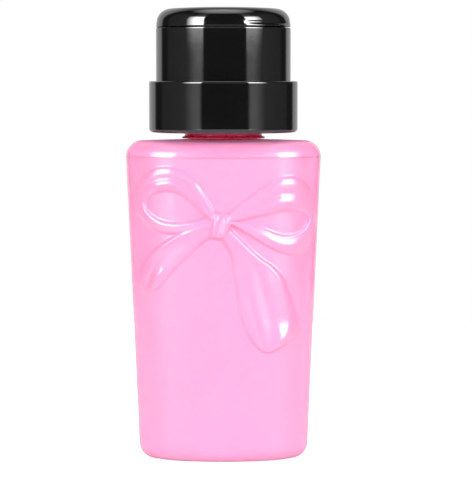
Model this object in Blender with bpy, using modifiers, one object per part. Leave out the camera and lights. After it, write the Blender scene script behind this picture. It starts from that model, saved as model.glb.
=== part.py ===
"""Nail polish remover pump: a tapered bottle with a moulded bow and a press-down head.

Every piece is its own object at its real size. Lengths are in metres, +Z is up and z = 0 is
the table. The front of the bottle, with the bow, faces -Y. The pump's axis is the Z axis.
"""
import math

import bmesh
import bpy
import numpy as np
from mathutils import Matrix, Vector

# Play and cutting
GAP = 0.0003                # play between pieces that touch
OVERRUN = 0.002             # how far a cut runs past the face it starts from
MERGE_DISTANCE = 0.00001    # points closer than this are one point

# Bottle body
BODY_HEIGHT = 0.1138        # table to the crown of the shoulder
BASE_WIDTH = 0.0586         # outer width at the table, before the lower corners are rounded
SHOULDER_WIDTH = 0.0696     # outer width at the shoulder
BASE_DEPTH = 0.0400
SHOULDER_DEPTH = 0.0460
BASE_FACE_RADIUS = 0.0435   # radius of the bulging front and back, seen from above
SHOULDER_FACE_RADIUS = 0.0530
BODY_CORNER = 0.0080        # radius of the upright corners
CORNER_LEAST = 0.0024       # least radius of those corners on the smaller rings
SHOULDER_ROUND = 0.0056     # radius between the sides and the shoulder
SHOULDER_CROWN = 0.0006     # rise of the shoulder towards the neck
FOOT_ROUND = 0.0052         # radius between the sides and the base
FOOT_BAND = 0.0016          # width of the flat ring that stands on the table
PUSH_UP = 0.0025            # height of the hollow under the base
PUSH_UP_SLOPE = 0.0050      # width of the slope into that hollow
BOTTLE_WALL = 0.0012

# Neck
NECK_RADIUS = 0.01075
NECK_BORE_RADIUS = 0.0093
NECK_HEIGHT = 0.0150        # shoulder crown to the neck's rim

# Bow moulded on the front
BOW_WIDTH = 0.0612
BOW_KNOT_X = -0.0009
BOW_KNOT_Z = 0.0833
BOW_CELL = 0.0004           # cell of the height map
BOW_BLUR = 0.0007           # softness of the moulded edges
LOOP_RELIEF = 0.0017
TAIL_RELIEF = 0.0013
KNOT_RELIEF = 0.0026
BOW_ROW = 0.00125           # height of a row of faces under the bow
BOW_REACH_SHARE = 0.77      # knot down to the first close row, as a share of the width

# Screw closure and collar
CLOSURE_RADIUS = 0.0137
CLOSURE_INNER_RADIUS = 0.0122
CLOSURE_PLATE = 0.0012
CLOSURE_FLARE = 0.0011
CLOSURE_FLARE_HEIGHT = 0.0009
CLOSURE_CHAMFER = 0.0005
COLLAR_LIFT = 0.0024        # shoulder crown to the collar's underside
COLLAR_HEIGHT = 0.0182
COLLAR_PLAY = 0.0010        # head's sleeve to the inside of the collar
COLLAR_WALL = 0.0015
COLLAR_FLOOR = 0.0014
COLLAR_FOOT_ROUND = 0.0014
COLLAR_RIM_ROUND = 0.0006
HUB_WALL = 0.0014
HUB_HEIGHT = 0.0070

# Pump cylinder
GASKET_THICKNESS = 0.0010
FLANGE_RADIUS = 0.0106
FLANGE_THICKNESS = 0.0012
CYLINDER_BORE_RADIUS = 0.0058
CYLINDER_WALL = 0.0012
VALVE_WALL = 0.0011
STROKE = 0.0075

# Stem guide and its seal
GUIDE_FLANGE_RADIUS = 0.0090
GUIDE_FLANGE_THICKNESS = 0.0012
GUIDE_LENGTH = 0.0070
GUIDE_SEAL_THICKNESS = 0.0012

# Stem and piston
STEM_RADIUS = 0.0032
STEM_BORE_RADIUS = 0.0012
PISTON_HEIGHT = 0.0055
PISTON_WAIST = 0.0005
PISTON_LIP = 0.0010
CORE_RADIUS = 0.0044
CORE_THICKNESS = 0.0012
CORE_BORE_RADIUS = 0.0005
CORE_SPIGOT = 0.0030

# Return spring
SPRING_LENGTH = 0.0240
SPRING_RADIUS = 0.0036      # radius of the wire's centre line
SPRING_WIRE_RADIUS = 0.0004
SPRING_CURLS = 8
SPRING_POINTS = 10          # points in each curl
END_CURL_SHARE = 0.06       # how much closer the end curls lie than an even coil

# Inlet valve and dip tube
CAGE_THICKNESS = 0.0014
CAGE_SPIGOT = 0.0014        # height of the part that centres the spring
CAGE_BORE_RADIUS = 0.0016
INLET_BALL_RADIUS = 0.0022
INLET_SEAT_RADIUS = 0.0016
INLET_LIFT = 0.0010
INLET_SEAT_THICKNESS = 0.0015
TUBE_RADIUS = 0.0025
TUBE_BORE_RADIUS = 0.0017
TUBE_SOCKET_DEPTH = 0.0085
TUBE_FLOOR_CLEARANCE = 0.0015
TUBE_END_SLANT = 0.0020

# Outlet valve
SOCKET_DEPTH = 0.0045       # how far the stem enters the dish's socket
SOCKET_WALL = 0.0015
OUTLET_BALL_RADIUS = 0.0016
OUTLET_LIFT = 0.0008
INSERT_RADIUS = 0.0040
INSERT_THICKNESS = 0.0010
INSERT_BORE_RADIUS = 0.0008
INSERT_DIMPLE = 0.0004

# Press head
SEAM_RISE = 0.0014          # top of the outlet boss to the seam under the lid
HEAD_RADIUS = 0.0240
HEAD_WALL = 0.0013
HEAD_SUNK = 0.0079          # length of the sleeve inside the collar at rest
LEDGE_WIDTH = 0.0021
LEDGE_THICKNESS = 0.0012
DISH_DROP = 0.0010          # seam to the dish's rim
DISH_RIM_HEIGHT = 0.0041
DISH_RIM_WALL = 0.0012
DISH_DEPTH = 0.0032
DISH_FLOOR = 0.0012
DISH_SLOPE = 0.0012         # rise of the dish's floor towards its rim
DISH_ROUND = 0.0012
BOSS_WALL = 0.0010

# Lid
LID_HEIGHT = 0.0073
LID_WALL = 0.0016
LID_SLOPE = math.radians(7.5)           # lean of the lid's side
LID_ROUND = 0.0049          # radius between the lid's side and its top
LID_CROWN = 0.0006          # rise of the top towards the middle
LID_TUBE_RADIUS = 0.0048
LID_TUBE_BORE_RADIUS = 0.0036
LID_SEAL_THICKNESS = 0.0018
LID_SEAL_STUD = 0.0024
THUMB_AZIMUTH = math.radians(-45)       # direction of the thumb lip, from +X
THUMB_HALF_ANGLE = math.radians(34)
THUMB_LIP = 0.0007          # how far the lip stands out
THUMB_LIP_HEIGHT = 0.0011
THUMB_SCOOP = 0.0009        # depth of the hollow above the lip
THUMB_SCOOP_HEIGHT = 0.0027

# Hinge
KNUCKLE_RADIUS = 0.0015
KNUCKLE_LENGTH = 0.0064
EAR_LENGTH = 0.0033
PIN_RADIUS = 0.00075
HINGE_SINK = 0.0011         # how far the knuckles' webs run into the head's wall

# Numbers of sides
SIDES_LARGE = 48
SIDES_SMALL = 24
SIDES_FINE = 16
ARC_STEPS = 4
FRONT_COLUMNS = 54          # faces across the front, under the bow
BACK_COLUMNS = 14
CORNER_COLUMNS = 5          # faces round each corner
PLAIN_ROWS = 3              # rows of faces between the foot and the bow
BOTTLE_FACES_SHARE = 0.50   # share of the faces that is left where the bottle is plain

# Heights above the table, from the bottle upwards
collar_z = BODY_HEIGHT + COLLAR_LIFT
collar_top = collar_z + COLLAR_HEIGHT
neck_top = BODY_HEIGHT + NECK_HEIGHT
gasket_z = neck_top + GAP
flange_z = gasket_z + GASKET_THICKNESS + GAP
flange_top = flange_z + FLANGE_THICKNESS
plate_z = flange_top + GAP
closure_top = plate_z + CLOSURE_PLATE
closure_z = BODY_HEIGHT + GAP
guide_flange_z = closure_top + GAP
guide_top = guide_flange_z + GUIDE_FLANGE_THICKNESS
guide_z = guide_flange_z - GUIDE_LENGTH

# Radii that more than one piece follows
stub_radius = CYLINDER_BORE_RADIUS + CYLINDER_WALL
sleeve_bore = HEAD_RADIUS - HEAD_WALL
collar_bore = HEAD_RADIUS + COLLAR_PLAY
collar_radius = collar_bore + COLLAR_WALL
hinge_radius = HEAD_RADIUS + GAP + KNUCKLE_RADIUS

# From the stem guide down to the dip tube
guide_seal_z = guide_z - GAP - GUIDE_SEAL_THICKNESS
piston_z = guide_seal_z - GAP - PISTON_HEIGHT
core_z = piston_z - GAP - CORE_THICKNESS
spring_top = core_z - GAP
spring_z = spring_top - SPRING_LENGTH
cage_z = spring_z - GAP - CAGE_THICKNESS
bore_z = cage_z - GAP
inlet_ball_z = cage_z - GAP - INLET_LIFT - INLET_BALL_RADIUS
inlet_seat_z = inlet_ball_z - GAP - math.sqrt(INLET_BALL_RADIUS ** 2 - INLET_SEAT_RADIUS ** 2)
tube_top = inlet_seat_z - INLET_SEAT_THICKNESS - GAP
cylinder_z = tube_top + GAP - TUBE_SOCKET_DEPTH
tube_z = PUSH_UP + BOTTLE_WALL + TUBE_FLOOR_CLEARANCE

# From the stem guide up to the lid
socket_z = guide_top + STROKE + GAP
stem_z = piston_z
stem_top = socket_z + SOCKET_DEPTH
outlet_ball_z = stem_top + GAP + math.sqrt(OUTLET_BALL_RADIUS ** 2 - STEM_BORE_RADIUS ** 2)
insert_z = outlet_ball_z + OUTLET_BALL_RADIUS + OUTLET_LIFT + GAP
boss_top = insert_z + INSERT_THICKNESS
seam_z = boss_top + SEAM_RISE
sleeve_z = collar_top - HEAD_SUNK
sleeve_top = seam_z - GAP / 2
dish_rim_top = seam_z - DISH_DROP
dish_skirt_z = dish_rim_top - DISH_RIM_HEIGHT
ledge_top = dish_skirt_z - GAP
lid_z = seam_z + GAP / 2
lid_top = seam_z + LID_HEIGHT
lid_seal_z = boss_top + GAP
lid_tube_z = lid_seal_z + LID_SEAL_THICKNESS + GAP

# Outlines of the bow's ribbons, as shares of its width measured from the knot: x, then z
LEFT_LOOP_OUTER_SHARES = [
    (-0.046, 0.086), (-0.149, 0.234), (-0.234, 0.309), (-0.320, 0.337), (-0.406, 0.314),
    (-0.474, 0.234), (-0.491, 0.149), (-0.469, 0.080), (-0.406, 0.011), (-0.331, -0.029),
    (-0.246, -0.043), (-0.166, -0.029), (-0.063, 0.000)]
LEFT_LOOP_INNER_SHARES = [
    (-0.080, 0.051), (-0.177, 0.131), (-0.263, 0.177), (-0.349, 0.186), (-0.400, 0.166),
    (-0.423, 0.137), (-0.426, 0.109), (-0.417, 0.086), (-0.383, 0.057), (-0.337, 0.034),
    (-0.269, 0.020), (-0.189, 0.020), (-0.074, 0.037)]
RIGHT_LOOP_OUTER_SHARES = [
    (0.063, 0.074), (0.166, 0.137), (0.257, 0.200), (0.343, 0.246), (0.417, 0.263),
    (0.486, 0.229), (0.520, 0.131), (0.514, 0.006), (0.491, -0.091), (0.429, -0.160),
    (0.337, -0.137), (0.234, -0.086), (0.074, -0.006)]
RIGHT_LOOP_INNER_SHARES = [
    (0.086, 0.023), (0.194, 0.046), (0.291, 0.069), (0.383, 0.083), (0.446, 0.080),
    (0.486, 0.051), (0.497, 0.023), (0.486, -0.006), (0.446, -0.040), (0.383, -0.057),
    (0.309, -0.046), (0.223, -0.017), (0.097, 0.017)]
LEFT_TAIL_UPPER_SHARES = [
    (-0.091, -0.017), (-0.166, -0.040), (-0.246, -0.063), (-0.331, -0.097),
    (-0.394, -0.143), (-0.446, -0.200), (-0.469, -0.263), (-0.474, -0.343)]
LEFT_TAIL_LOWER_SHARES = [
    (-0.069, -0.063), (-0.120, -0.097), (-0.183, -0.143), (-0.246, -0.206),
    (-0.291, -0.257), (-0.331, -0.309), (-0.366, -0.360), (-0.400, -0.389)]
RIGHT_TAIL_LEFT_SHARES = [
    (0.029, -0.080), (0.057, -0.137), (0.069, -0.217), (0.080, -0.320), (0.097, -0.423),
    (0.126, -0.537), (0.160, -0.634), (0.200, -0.697), (0.246, -0.731)]
RIGHT_TAIL_RIGHT_SHARES = [
    (0.063, -0.006), (0.143, -0.086), (0.229, -0.160), (0.314, -0.240), (0.371, -0.326),
    (0.400, -0.423), (0.429, -0.520), (0.446, -0.594), (0.417, -0.663)]
LEFT_WRAP_LEFT_SHARES = [(-0.049, 0.080), (-0.060, 0.006), (-0.060, -0.069)]
LEFT_WRAP_RIGHT_SHARES = [(0.000, 0.083), (-0.011, 0.000), (-0.014, -0.074)]
RIGHT_WRAP_LEFT_SHARES = [(0.011, 0.077), (-0.009, 0.000), (-0.011, -0.080)]
RIGHT_WRAP_RIGHT_SHARES = [(0.069, 0.069), (0.060, -0.006), (0.034, -0.083)]

# Form of the bow's ribbons. Rises are the shares of its width over which a ribbon's two sides
# rise. The crown is its height at even steps along it, as a share of its relief. Falls is the
# share of its length over which its end falls away. A fold runs from (across, along) to
# (across, along), followed by its width across and its height.
LEFT_LOOP_FORM_SHARES = {
    "rises": (0.22, 0.20), "falls": 0.0, "crown": (0.80, 0.85, 0.95, 0.85, 0.75, 0.80, 0.80),
    "folds": [(0.20, 0.0, 0.18, 0.30, 0.10, 0.25), (0.42, 0.0, 0.40, 0.50, 0.12, -0.35),
              (0.64, 0.0, 0.62, 0.50, 0.12, 0.25), (0.78, 0.55, 0.76, 1.0, 0.12, 0.25)]}
RIGHT_LOOP_FORM_SHARES = {
    "rises": (0.22, 0.20), "falls": 0.0, "crown": (0.60, 0.75, 0.95, 0.85, 0.75, 0.80, 0.80),
    "folds": [(0.18, 0.10, 0.18, 0.42, 0.10, 0.25), (0.42, 0.10, 0.42, 0.45, 0.12, -0.35),
              (0.66, 0.05, 0.64, 0.48, 0.12, 0.25), (0.60, 0.55, 0.60, 1.0, 0.12, 0.25)]}
LEFT_TAIL_FORM_SHARES = {
    "rises": (0.14, 0.18), "falls": 0.06, "crown": (1.0, 0.95, 0.85, 0.80, 0.80),
    "folds": [(0.45, 0.20, 0.42, 0.75, 0.16, -0.25), (0.68, 0.55, 0.66, 1.0, 0.12, 0.30)]}
RIGHT_TAIL_FORM_SHARES = {
    "rises": (0.12, 0.14), "falls": 0.05, "crown": (1.0, 1.0, 1.0, 1.0, 1.1),
    "folds": [(0.34, 0.35, 0.32, 0.92, 0.10, 0.25), (0.52, 0.20, 0.50, 0.90, 0.10, -0.25),
              (0.64, 0.30, 0.66, 0.80, 0.12, 0.25), (0.80, 0.70, 0.78, 0.98, 0.14, 0.50)]}
WRAP_FORM_SHARES = {"rises": (0.35, 0.40), "falls": 0.0, "crown": (0.92, 1.0, 0.92), "folds": []}
KNOT_FORM_SHARES = {"rises": (0.12, 0.12), "falls": 0.0, "crown": (0.62, 0.70, 0.62), "folds": []}
FOLD_TAPER_SHARE = 0.07     # share of a ribbon's length over which a fold fades in or out
RIBBON_SAMPLES = (240, 60)  # samples along and across a ribbon


def clear_scene():
    """Remove whatever the file starts with."""
    for item in list(bpy.data.objects):
        bpy.data.objects.remove(item)


def make_collection(name):
    """A new collection linked to the scene."""
    collection = bpy.data.collections.new(name)
    bpy.context.scene.collection.children.link(collection)
    return collection


def make_material(name, colour, roughness, metallic=0.0):
    """A Principled material with one colour."""
    material = bpy.data.materials.new(name)
    material.use_nodes = True
    shader = material.node_tree.nodes["Principled BSDF"]
    shader.inputs["Base Color"].default_value = (*colour, 1.0)
    shader.inputs["Roughness"].default_value = roughness
    shader.inputs["Metallic"].default_value = metallic
    return material


def add_part(name, shape, material, carrier=None):
    """Put a mesh or curve in the object's collection, carried by an empty if it moves."""
    item = bpy.data.objects.new(name, shape)
    parts.objects.link(item)
    shape.materials.clear()
    shape.materials.append(material)
    if carrier is not None:
        item.parent = carrier
        item.matrix_parent_inverse = Matrix.Translation(-carrier.location)
    return item


def add_cutter(name, mesh):
    """Put a mesh among the cutters, where it shows as a wire only."""
    item = bpy.data.objects.new(name, mesh)
    cutters.objects.link(item)
    item.hide_render = True
    item.display_type = "WIRE"
    return item


def add_carrier(name, place):
    """An empty on a joint's axis, which carries the pieces that move about it."""
    empty = bpy.data.objects.new(name, None)
    empty.location = place
    empty.empty_display_size = GUIDE_LENGTH
    parts.objects.link(empty)
    return empty


def arc(centre, radius, start, end, steps=ARC_STEPS):
    """Points of an arc in the profile's plane, with both ends. Angles are in degrees."""
    points = []
    for step in range(steps + 1):
        angle = math.radians(start + (end - start) * step / steps)
        points.append((centre[0] + radius * math.cos(angle), centre[1] + radius * math.sin(angle)))
    return points


def clockwise(profile):
    """The profile in the order that runs down its outer side."""
    area = sum(a[0] * b[1] - b[0] * a[1] for a, b in zip(profile, profile[1:] + profile[:1]))
    return profile if area < 0 else profile[::-1]


def profile_mesh(name, profile):
    """A mesh of edges along a profile of (radius, height), closed unless it ends on the axis."""
    profile = clockwise(profile)
    on_axis = sum(1 for radius, _ in profile if radius == 0)
    if on_axis:
        while profile[0][0] != 0 or profile[-1][0] != 0:
            profile = profile[1:] + profile[:1]
    edges = [(i, i + 1) for i in range(len(profile) - 1)]
    if not on_axis:
        edges.append((len(profile) - 1, 0))
    mesh = bpy.data.meshes.new(name)
    mesh.from_pydata([(radius, 0, height) for radius, height in profile], edges, [])
    return mesh


def add_screw(item, sides):
    """Turn the object's profile about its own Z axis."""
    screw = item.modifiers.new("Turned", "SCREW")
    screw.steps = sides
    screw.render_steps = sides
    screw.use_merge_vertices = True
    screw.merge_threshold = MERGE_DISTANCE
    screw.use_smooth_shade = True


def turned(name, profile, height, sides, material, carrier=None):
    """A turned piece whose profile heights are measured from its own base."""
    item = add_part(name, profile_mesh(name, profile), material, carrier)
    item.location = (0, 0, height)
    add_screw(item, sides)
    return item


def ring_profile(inner, outer, height):
    """Profile of a plain ring."""
    return [(outer, height), (outer, 0), (inner, 0), (inner, height)]


def cylinder_mesh(name, radius, length, sides):
    """A cylinder along Z, centred on its origin."""
    shape = bmesh.new()
    bmesh.ops.create_cone(shape, cap_ends=True, segments=sides, radius1=radius, radius2=radius,
                          depth=length)
    mesh = bpy.data.meshes.new(name)
    shape.to_mesh(mesh)
    shape.free()
    return mesh


def ball_mesh(name, radius):
    """A valve ball."""
    shape = bmesh.new()
    bmesh.ops.create_uvsphere(shape, u_segments=SIDES_FINE, v_segments=SIDES_FINE // 2,
                              radius=radius)
    for face in shape.faces:
        face.smooth = True
    mesh = bpy.data.meshes.new(name)
    shape.to_mesh(mesh)
    shape.free()
    return mesh


def curve_to_mesh(item):
    """Turn a curve object into a closed mesh and remove the curve."""
    bpy.context.view_layer.update()
    evaluated = item.evaluated_get(bpy.context.evaluated_depsgraph_get())
    mesh = bpy.data.meshes.new_from_object(evaluated)
    shape = bmesh.new()
    shape.from_mesh(mesh)
    bmesh.ops.remove_doubles(shape, verts=shape.verts, dist=MERGE_DISTANCE)
    bmesh.ops.transform(shape, matrix=item.matrix_world, verts=shape.verts)
    shape.to_mesh(mesh)
    shape.free()
    curve = item.data
    bpy.data.objects.remove(item)
    bpy.data.curves.remove(curve)
    return mesh


def outline_mesh(name, outline, thickness, matrix):
    """A flat outline in its own XY plane, thickened both ways and placed by a matrix."""
    curve = bpy.data.curves.new(name, "CURVE")
    curve.dimensions = "2D"
    curve.fill_mode = "BOTH"
    curve.extrude = thickness / 2
    spline = curve.splines.new("POLY")
    spline.points.add(len(outline) - 1)
    for point, place in zip(spline.points, outline):
        point.co = (*place, 0, 1)
    spline.use_cyclic_u = True
    item = bpy.data.objects.new(name, curve)
    bpy.context.scene.collection.objects.link(item)
    item.matrix_world = matrix
    return curve_to_mesh(item)


def boolean(item, cutter, operation):
    """Cut an object with another, or join the other to it."""
    modifier = item.modifiers.new(cutter.name, "BOOLEAN")
    modifier.operation = operation
    modifier.object = cutter


def smooth_curve(points, count):
    """Points along a smooth curve through the given points."""
    points = np.array(points, dtype=float)
    points = points.reshape(len(points), -1)
    padded = np.vstack([2 * points[0] - points[1], points, 2 * points[-1] - points[-2]])
    places = np.linspace(0, len(points) - 1, count)
    index = np.minimum(places.astype(int), len(points) - 2)
    t = (places - index)[:, None]
    before, start, end, after = (padded[index + k] for k in range(4))
    return 0.5 * (2 * start + (end - before) * t
                  + (2 * before - 5 * start + 4 * end - after) * t ** 2
                  + (3 * start - before - 3 * end + after) * t ** 3)


def blurred(grid, cells):
    """The height map softened by a bell curve that spans the given number of cells."""
    reach = int(3 * cells) + 1
    weights = np.exp(-0.5 * (np.arange(-reach, reach + 1) / cells) ** 2)
    weights /= weights.sum()
    for axis in (0, 1):
        grid = np.apply_along_axis(lambda line: np.convolve(line, weights, "same"), axis, grid)
    return grid


def eased(share):
    """A smooth step from 0 to 1."""
    share = np.clip(share, 0, 1)
    return share * share * (3 - 2 * share)


def ribbon_heights(form, along, across):
    """Height of a ribbon as shares of its relief, from its crown, its sides and its folds."""
    first_rise, second_rise = form["rises"]
    height = smooth_curve(form["crown"], len(along)) * np.ones_like(across)
    for across_start, along_start, across_end, along_end, width, rise in form["folds"]:
        share = np.clip((along - along_start) / (along_end - along_start), 0, 1)
        middle = across_start + (across_end - across_start) * share
        fold = rise * np.exp(-((across - middle) / width) ** 2)
        if along_start > 0:
            fold = fold * eased((along - along_start) / FOLD_TAPER_SHARE)
        if along_end < 1:
            fold = fold * eased((along_end - along) / FOLD_TAPER_SHARE)
        height = height + fold
    height = height * eased(across / first_rise) * eased((1 - across) / second_rise)
    if form["falls"]:
        height = height * np.sqrt(np.clip((1 - along) / form["falls"], 0, 1))
    return height


def bow_map():
    """Heights of the bow over the front, on a square grid centred on the knot."""
    ribbons = [
        (LEFT_TAIL_UPPER_SHARES, LEFT_TAIL_LOWER_SHARES, TAIL_RELIEF, LEFT_TAIL_FORM_SHARES),
        (RIGHT_TAIL_LEFT_SHARES, RIGHT_TAIL_RIGHT_SHARES, TAIL_RELIEF, RIGHT_TAIL_FORM_SHARES),
        (LEFT_LOOP_OUTER_SHARES, LEFT_LOOP_INNER_SHARES, LOOP_RELIEF, LEFT_LOOP_FORM_SHARES),
        (RIGHT_LOOP_OUTER_SHARES, RIGHT_LOOP_INNER_SHARES, LOOP_RELIEF, RIGHT_LOOP_FORM_SHARES),
        (LEFT_WRAP_LEFT_SHARES, RIGHT_WRAP_RIGHT_SHARES, KNOT_RELIEF, KNOT_FORM_SHARES),
        (LEFT_WRAP_LEFT_SHARES, LEFT_WRAP_RIGHT_SHARES, KNOT_RELIEF, WRAP_FORM_SHARES),
        (RIGHT_WRAP_LEFT_SHARES, RIGHT_WRAP_RIGHT_SHARES, KNOT_RELIEF, WRAP_FORM_SHARES)]
    half = int(BOW_WIDTH / BOW_CELL)
    grid = np.zeros((2 * half + 1, 2 * half + 1))
    along_count, across_count = RIBBON_SAMPLES
    across = np.linspace(0, 1, across_count)[None, :]
    along = np.linspace(0, 1, along_count)[:, None]
    for first, second, relief, form in ribbons:
        edge_a = smooth_curve(first, along_count)[:, None, :]
        edge_b = smooth_curve(second, along_count)[:, None, :]
        places = (edge_a + (edge_b - edge_a) * across[:, :, None]) * BOW_WIDTH / BOW_CELL
        height = relief * ribbon_heights(form, along, across)
        cells = np.rint(places).astype(int) + half
        np.maximum.at(grid, (cells[..., 0], cells[..., 1]), height)
    return blurred(grid, BOW_BLUR / BOW_CELL)


def bow_height(grid, x, z):
    """Height of the bow at a place on the front."""
    half = (len(grid) - 1) // 2
    u = (x - BOW_KNOT_X) / BOW_CELL + half
    v = (z - BOW_KNOT_Z) / BOW_CELL + half
    if not (0 <= u < len(grid) - 1 and 0 <= v < len(grid) - 1):
        return 0.0
    i = int(u)
    j = int(v)
    s = u - i
    t = v - j
    return ((1 - s) * (1 - t) * grid[i, j] + s * (1 - t) * grid[i + 1, j]
            + (1 - s) * t * grid[i, j + 1] + s * t * grid[i + 1, j + 1])


def body_section(z, inset):
    """Half width, half depth, face radius and corner radius of the bottle at a height."""
    share = z / BODY_HEIGHT
    half_width = (BASE_WIDTH + (SHOULDER_WIDTH - BASE_WIDTH) * share) / 2 - inset
    half_depth = (BASE_DEPTH + (SHOULDER_DEPTH - BASE_DEPTH) * share) / 2 - inset
    face = BASE_FACE_RADIUS + (SHOULDER_FACE_RADIUS - BASE_FACE_RADIUS) * share - inset
    return half_width, half_depth, face, max(BODY_CORNER - inset, CORNER_LEAST)


def section_ring(z, inset, relief=None):
    """One ring of the bottle's skin: bulging front and back joined by round corners."""
    half_width, half_depth, face, corner = body_section(z, inset)
    corner_x = half_width - corner
    turn = math.asin(corner_x / (face - corner))
    face_y = half_depth - face
    corner_y = face_y + (face - corner) * math.cos(turn)
    reach = math.degrees(turn)
    ring = arc((0, -face_y), face, -90 - reach, -90 + reach, FRONT_COLUMNS)[:-1]
    ring += arc((corner_x, -corner_y), corner, -90 + reach, 0, CORNER_COLUMNS)
    ring += arc((corner_x, corner_y), corner, 0, 90 - reach, CORNER_COLUMNS)[:-1]
    ring += arc((0, face_y), face, 90 - reach, 90 + reach, BACK_COLUMNS)[:-1]
    ring += arc((-corner_x, corner_y), corner, 90 + reach, 180, CORNER_COLUMNS)
    ring += arc((-corner_x, -corner_y), corner, 180, 270 - reach, CORNER_COLUMNS)[:-1]
    if relief is not None:
        ring = [(x, y - bow_height(relief, x, z) if y < 0 else y) for x, y in ring]
    return [(x, y, z) for x, y in ring]


def round_ring(radius, z):
    """A ring of the neck, with its points in the same directions as the body's."""
    ring = []
    for x, y, _ in section_ring(BODY_HEIGHT, 0):
        angle = math.atan2(y, x)
        ring.append((radius * math.cos(angle), radius * math.sin(angle), z))
    return ring


def body_rows():
    """Heights of the rings between the foot and the shoulder, close together under the bow."""
    low = FOOT_ROUND
    high = BODY_HEIGHT - SHOULDER_CROWN - SHOULDER_ROUND
    bow_low = BOW_KNOT_Z - BOW_REACH_SHARE * BOW_WIDTH
    rows = [low + (bow_low - low) * step / PLAIN_ROWS for step in range(PLAIN_ROWS)]
    count = round((high - bow_low) / BOW_ROW)
    rows += [bow_low + (high - bow_low) * step / count for step in range(count + 1)]
    return rows


def outer_rings(relief):
    """Rings of the bottle's outer skin, from the hollow under its base to the neck's rim."""
    foot_inset = FOOT_ROUND + FOOT_BAND
    rings = [
        section_ring(PUSH_UP, foot_inset + PUSH_UP_SLOPE + FOOT_BAND),
        section_ring(PUSH_UP, foot_inset + PUSH_UP_SLOPE),
        section_ring(0, foot_inset),
        section_ring(0, FOOT_ROUND)]
    for x, z in arc((FOOT_ROUND, FOOT_ROUND), FOOT_ROUND, 270, 180)[1:-1]:
        rings.append(section_ring(z, x))
    rings += [section_ring(z, 0, relief) for z in body_rows()]
    shoulder = BODY_HEIGHT - SHOULDER_CROWN
    for x, z in arc((SHOULDER_ROUND, shoulder - SHOULDER_ROUND), SHOULDER_ROUND, 180, 90)[1:]:
        rings.append(section_ring(z, x))
    rings.append(round_ring(NECK_RADIUS + SHOULDER_CROWN, BODY_HEIGHT))
    rings.append(round_ring(NECK_RADIUS, BODY_HEIGHT + SHOULDER_CROWN))
    rings.append(round_ring(NECK_RADIUS, neck_top))
    return rings


def inner_rings():
    """Rings of the bottle's inside, from the neck's rim down to its floor."""
    shoulder = BODY_HEIGHT - SHOULDER_CROWN - BOTTLE_WALL
    rings = [
        round_ring(NECK_BORE_RADIUS, neck_top),
        round_ring(NECK_BORE_RADIUS, BODY_HEIGHT - BOTTLE_WALL)]
    inner_round = SHOULDER_ROUND - BOTTLE_WALL
    for x, z in arc((SHOULDER_ROUND, shoulder - inner_round), inner_round, 90, 180, 2):
        rings.append(section_ring(z, x))
    inner_foot = FOOT_ROUND - BOTTLE_WALL
    for x, z in arc((FOOT_ROUND, BOTTLE_WALL + inner_foot), inner_foot, 180, 270, 2):
        rings.append(section_ring(z, x))
    rings.append(section_ring(BOTTLE_WALL, FOOT_ROUND + FOOT_BAND))
    rings.append(section_ring(PUSH_UP + BOTTLE_WALL, FOOT_ROUND + FOOT_BAND + PUSH_UP_SLOPE))
    return rings


def bottle_mesh():
    """The bottle's shell: outer skin, rim and inside as one loft of rings."""
    rings = outer_rings(bow_map()) + inner_rings()
    shape = bmesh.new()
    loops = [[shape.verts.new(point) for point in ring] for ring in rings]
    columns = len(loops[0])
    for lower, upper in zip(loops, loops[1:]):
        for k in range(columns):
            following = (k + 1) % columns
            shape.faces.new((lower[k], lower[following], upper[following], upper[k]))
    shape.faces.new(loops[0][::-1])
    shape.faces.new(loops[-1])
    bmesh.ops.recalc_face_normals(shape, faces=shape.faces)
    bmesh.ops.triangulate(shape, faces=shape.faces)
    mesh = bpy.data.meshes.new("bottle")
    shape.to_mesh(mesh)
    shape.free()
    return mesh


def make_bottle():
    """The bottle, with fewer faces where it is plain."""
    item = add_part("bottle", bottle_mesh(), pink)
    group = item.vertex_groups.new(name="plain_and_bow")
    body_low = FOOT_ROUND
    body_high = BODY_HEIGHT - SHOULDER_CROWN - SHOULDER_ROUND
    chosen = [v.index for v in item.data.vertices if body_low < v.co.z < body_high]
    group.add(chosen, 1.0, "REPLACE")
    thin = item.modifiers.new("Fewer faces", "DECIMATE")
    thin.ratio = BOTTLE_FACES_SHARE
    thin.vertex_group = group.name
    item.data.shade_smooth()
    return item


def make_closure():
    """The crimson screw closure that clamps the pump on the neck."""
    top = closure_top - closure_z
    flare = CLOSURE_RADIUS + CLOSURE_FLARE
    profile = [
        (CLOSURE_RADIUS - CLOSURE_CHAMFER, top), (CLOSURE_RADIUS, top - CLOSURE_CHAMFER),
        (CLOSURE_RADIUS, CLOSURE_FLARE_HEIGHT), (flare, CLOSURE_FLARE_HEIGHT / 2), (flare, 0),
        (CLOSURE_INNER_RADIUS, 0), (CLOSURE_INNER_RADIUS, plate_z - closure_z),
        (stub_radius + GAP, plate_z - closure_z), (stub_radius + GAP, top)]
    return turned("screw_closure", profile, closure_z, SIDES_LARGE, crimson, closure_axis)


def make_collar():
    """The black collar: an outer wall, a floor and a hub pressed on the closure."""
    hub_bore = CLOSURE_RADIUS + GAP
    rim = (collar_radius - COLLAR_RIM_ROUND, COLLAR_HEIGHT - COLLAR_RIM_ROUND)
    foot = (collar_radius - COLLAR_FOOT_ROUND, COLLAR_FOOT_ROUND)
    profile = arc(rim, COLLAR_RIM_ROUND, 90, 0, 2) + arc(foot, COLLAR_FOOT_ROUND, 0, -90, 3)
    profile += [
        (hub_bore, 0), (hub_bore, HUB_HEIGHT), (hub_bore + HUB_WALL, HUB_HEIGHT),
        (hub_bore + HUB_WALL, COLLAR_FLOOR), (collar_bore, COLLAR_FLOOR),
        (collar_bore, COLLAR_HEIGHT)]
    return turned("collar_ring", profile, collar_z, SIDES_LARGE, gloss_black, closure_axis)


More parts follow.
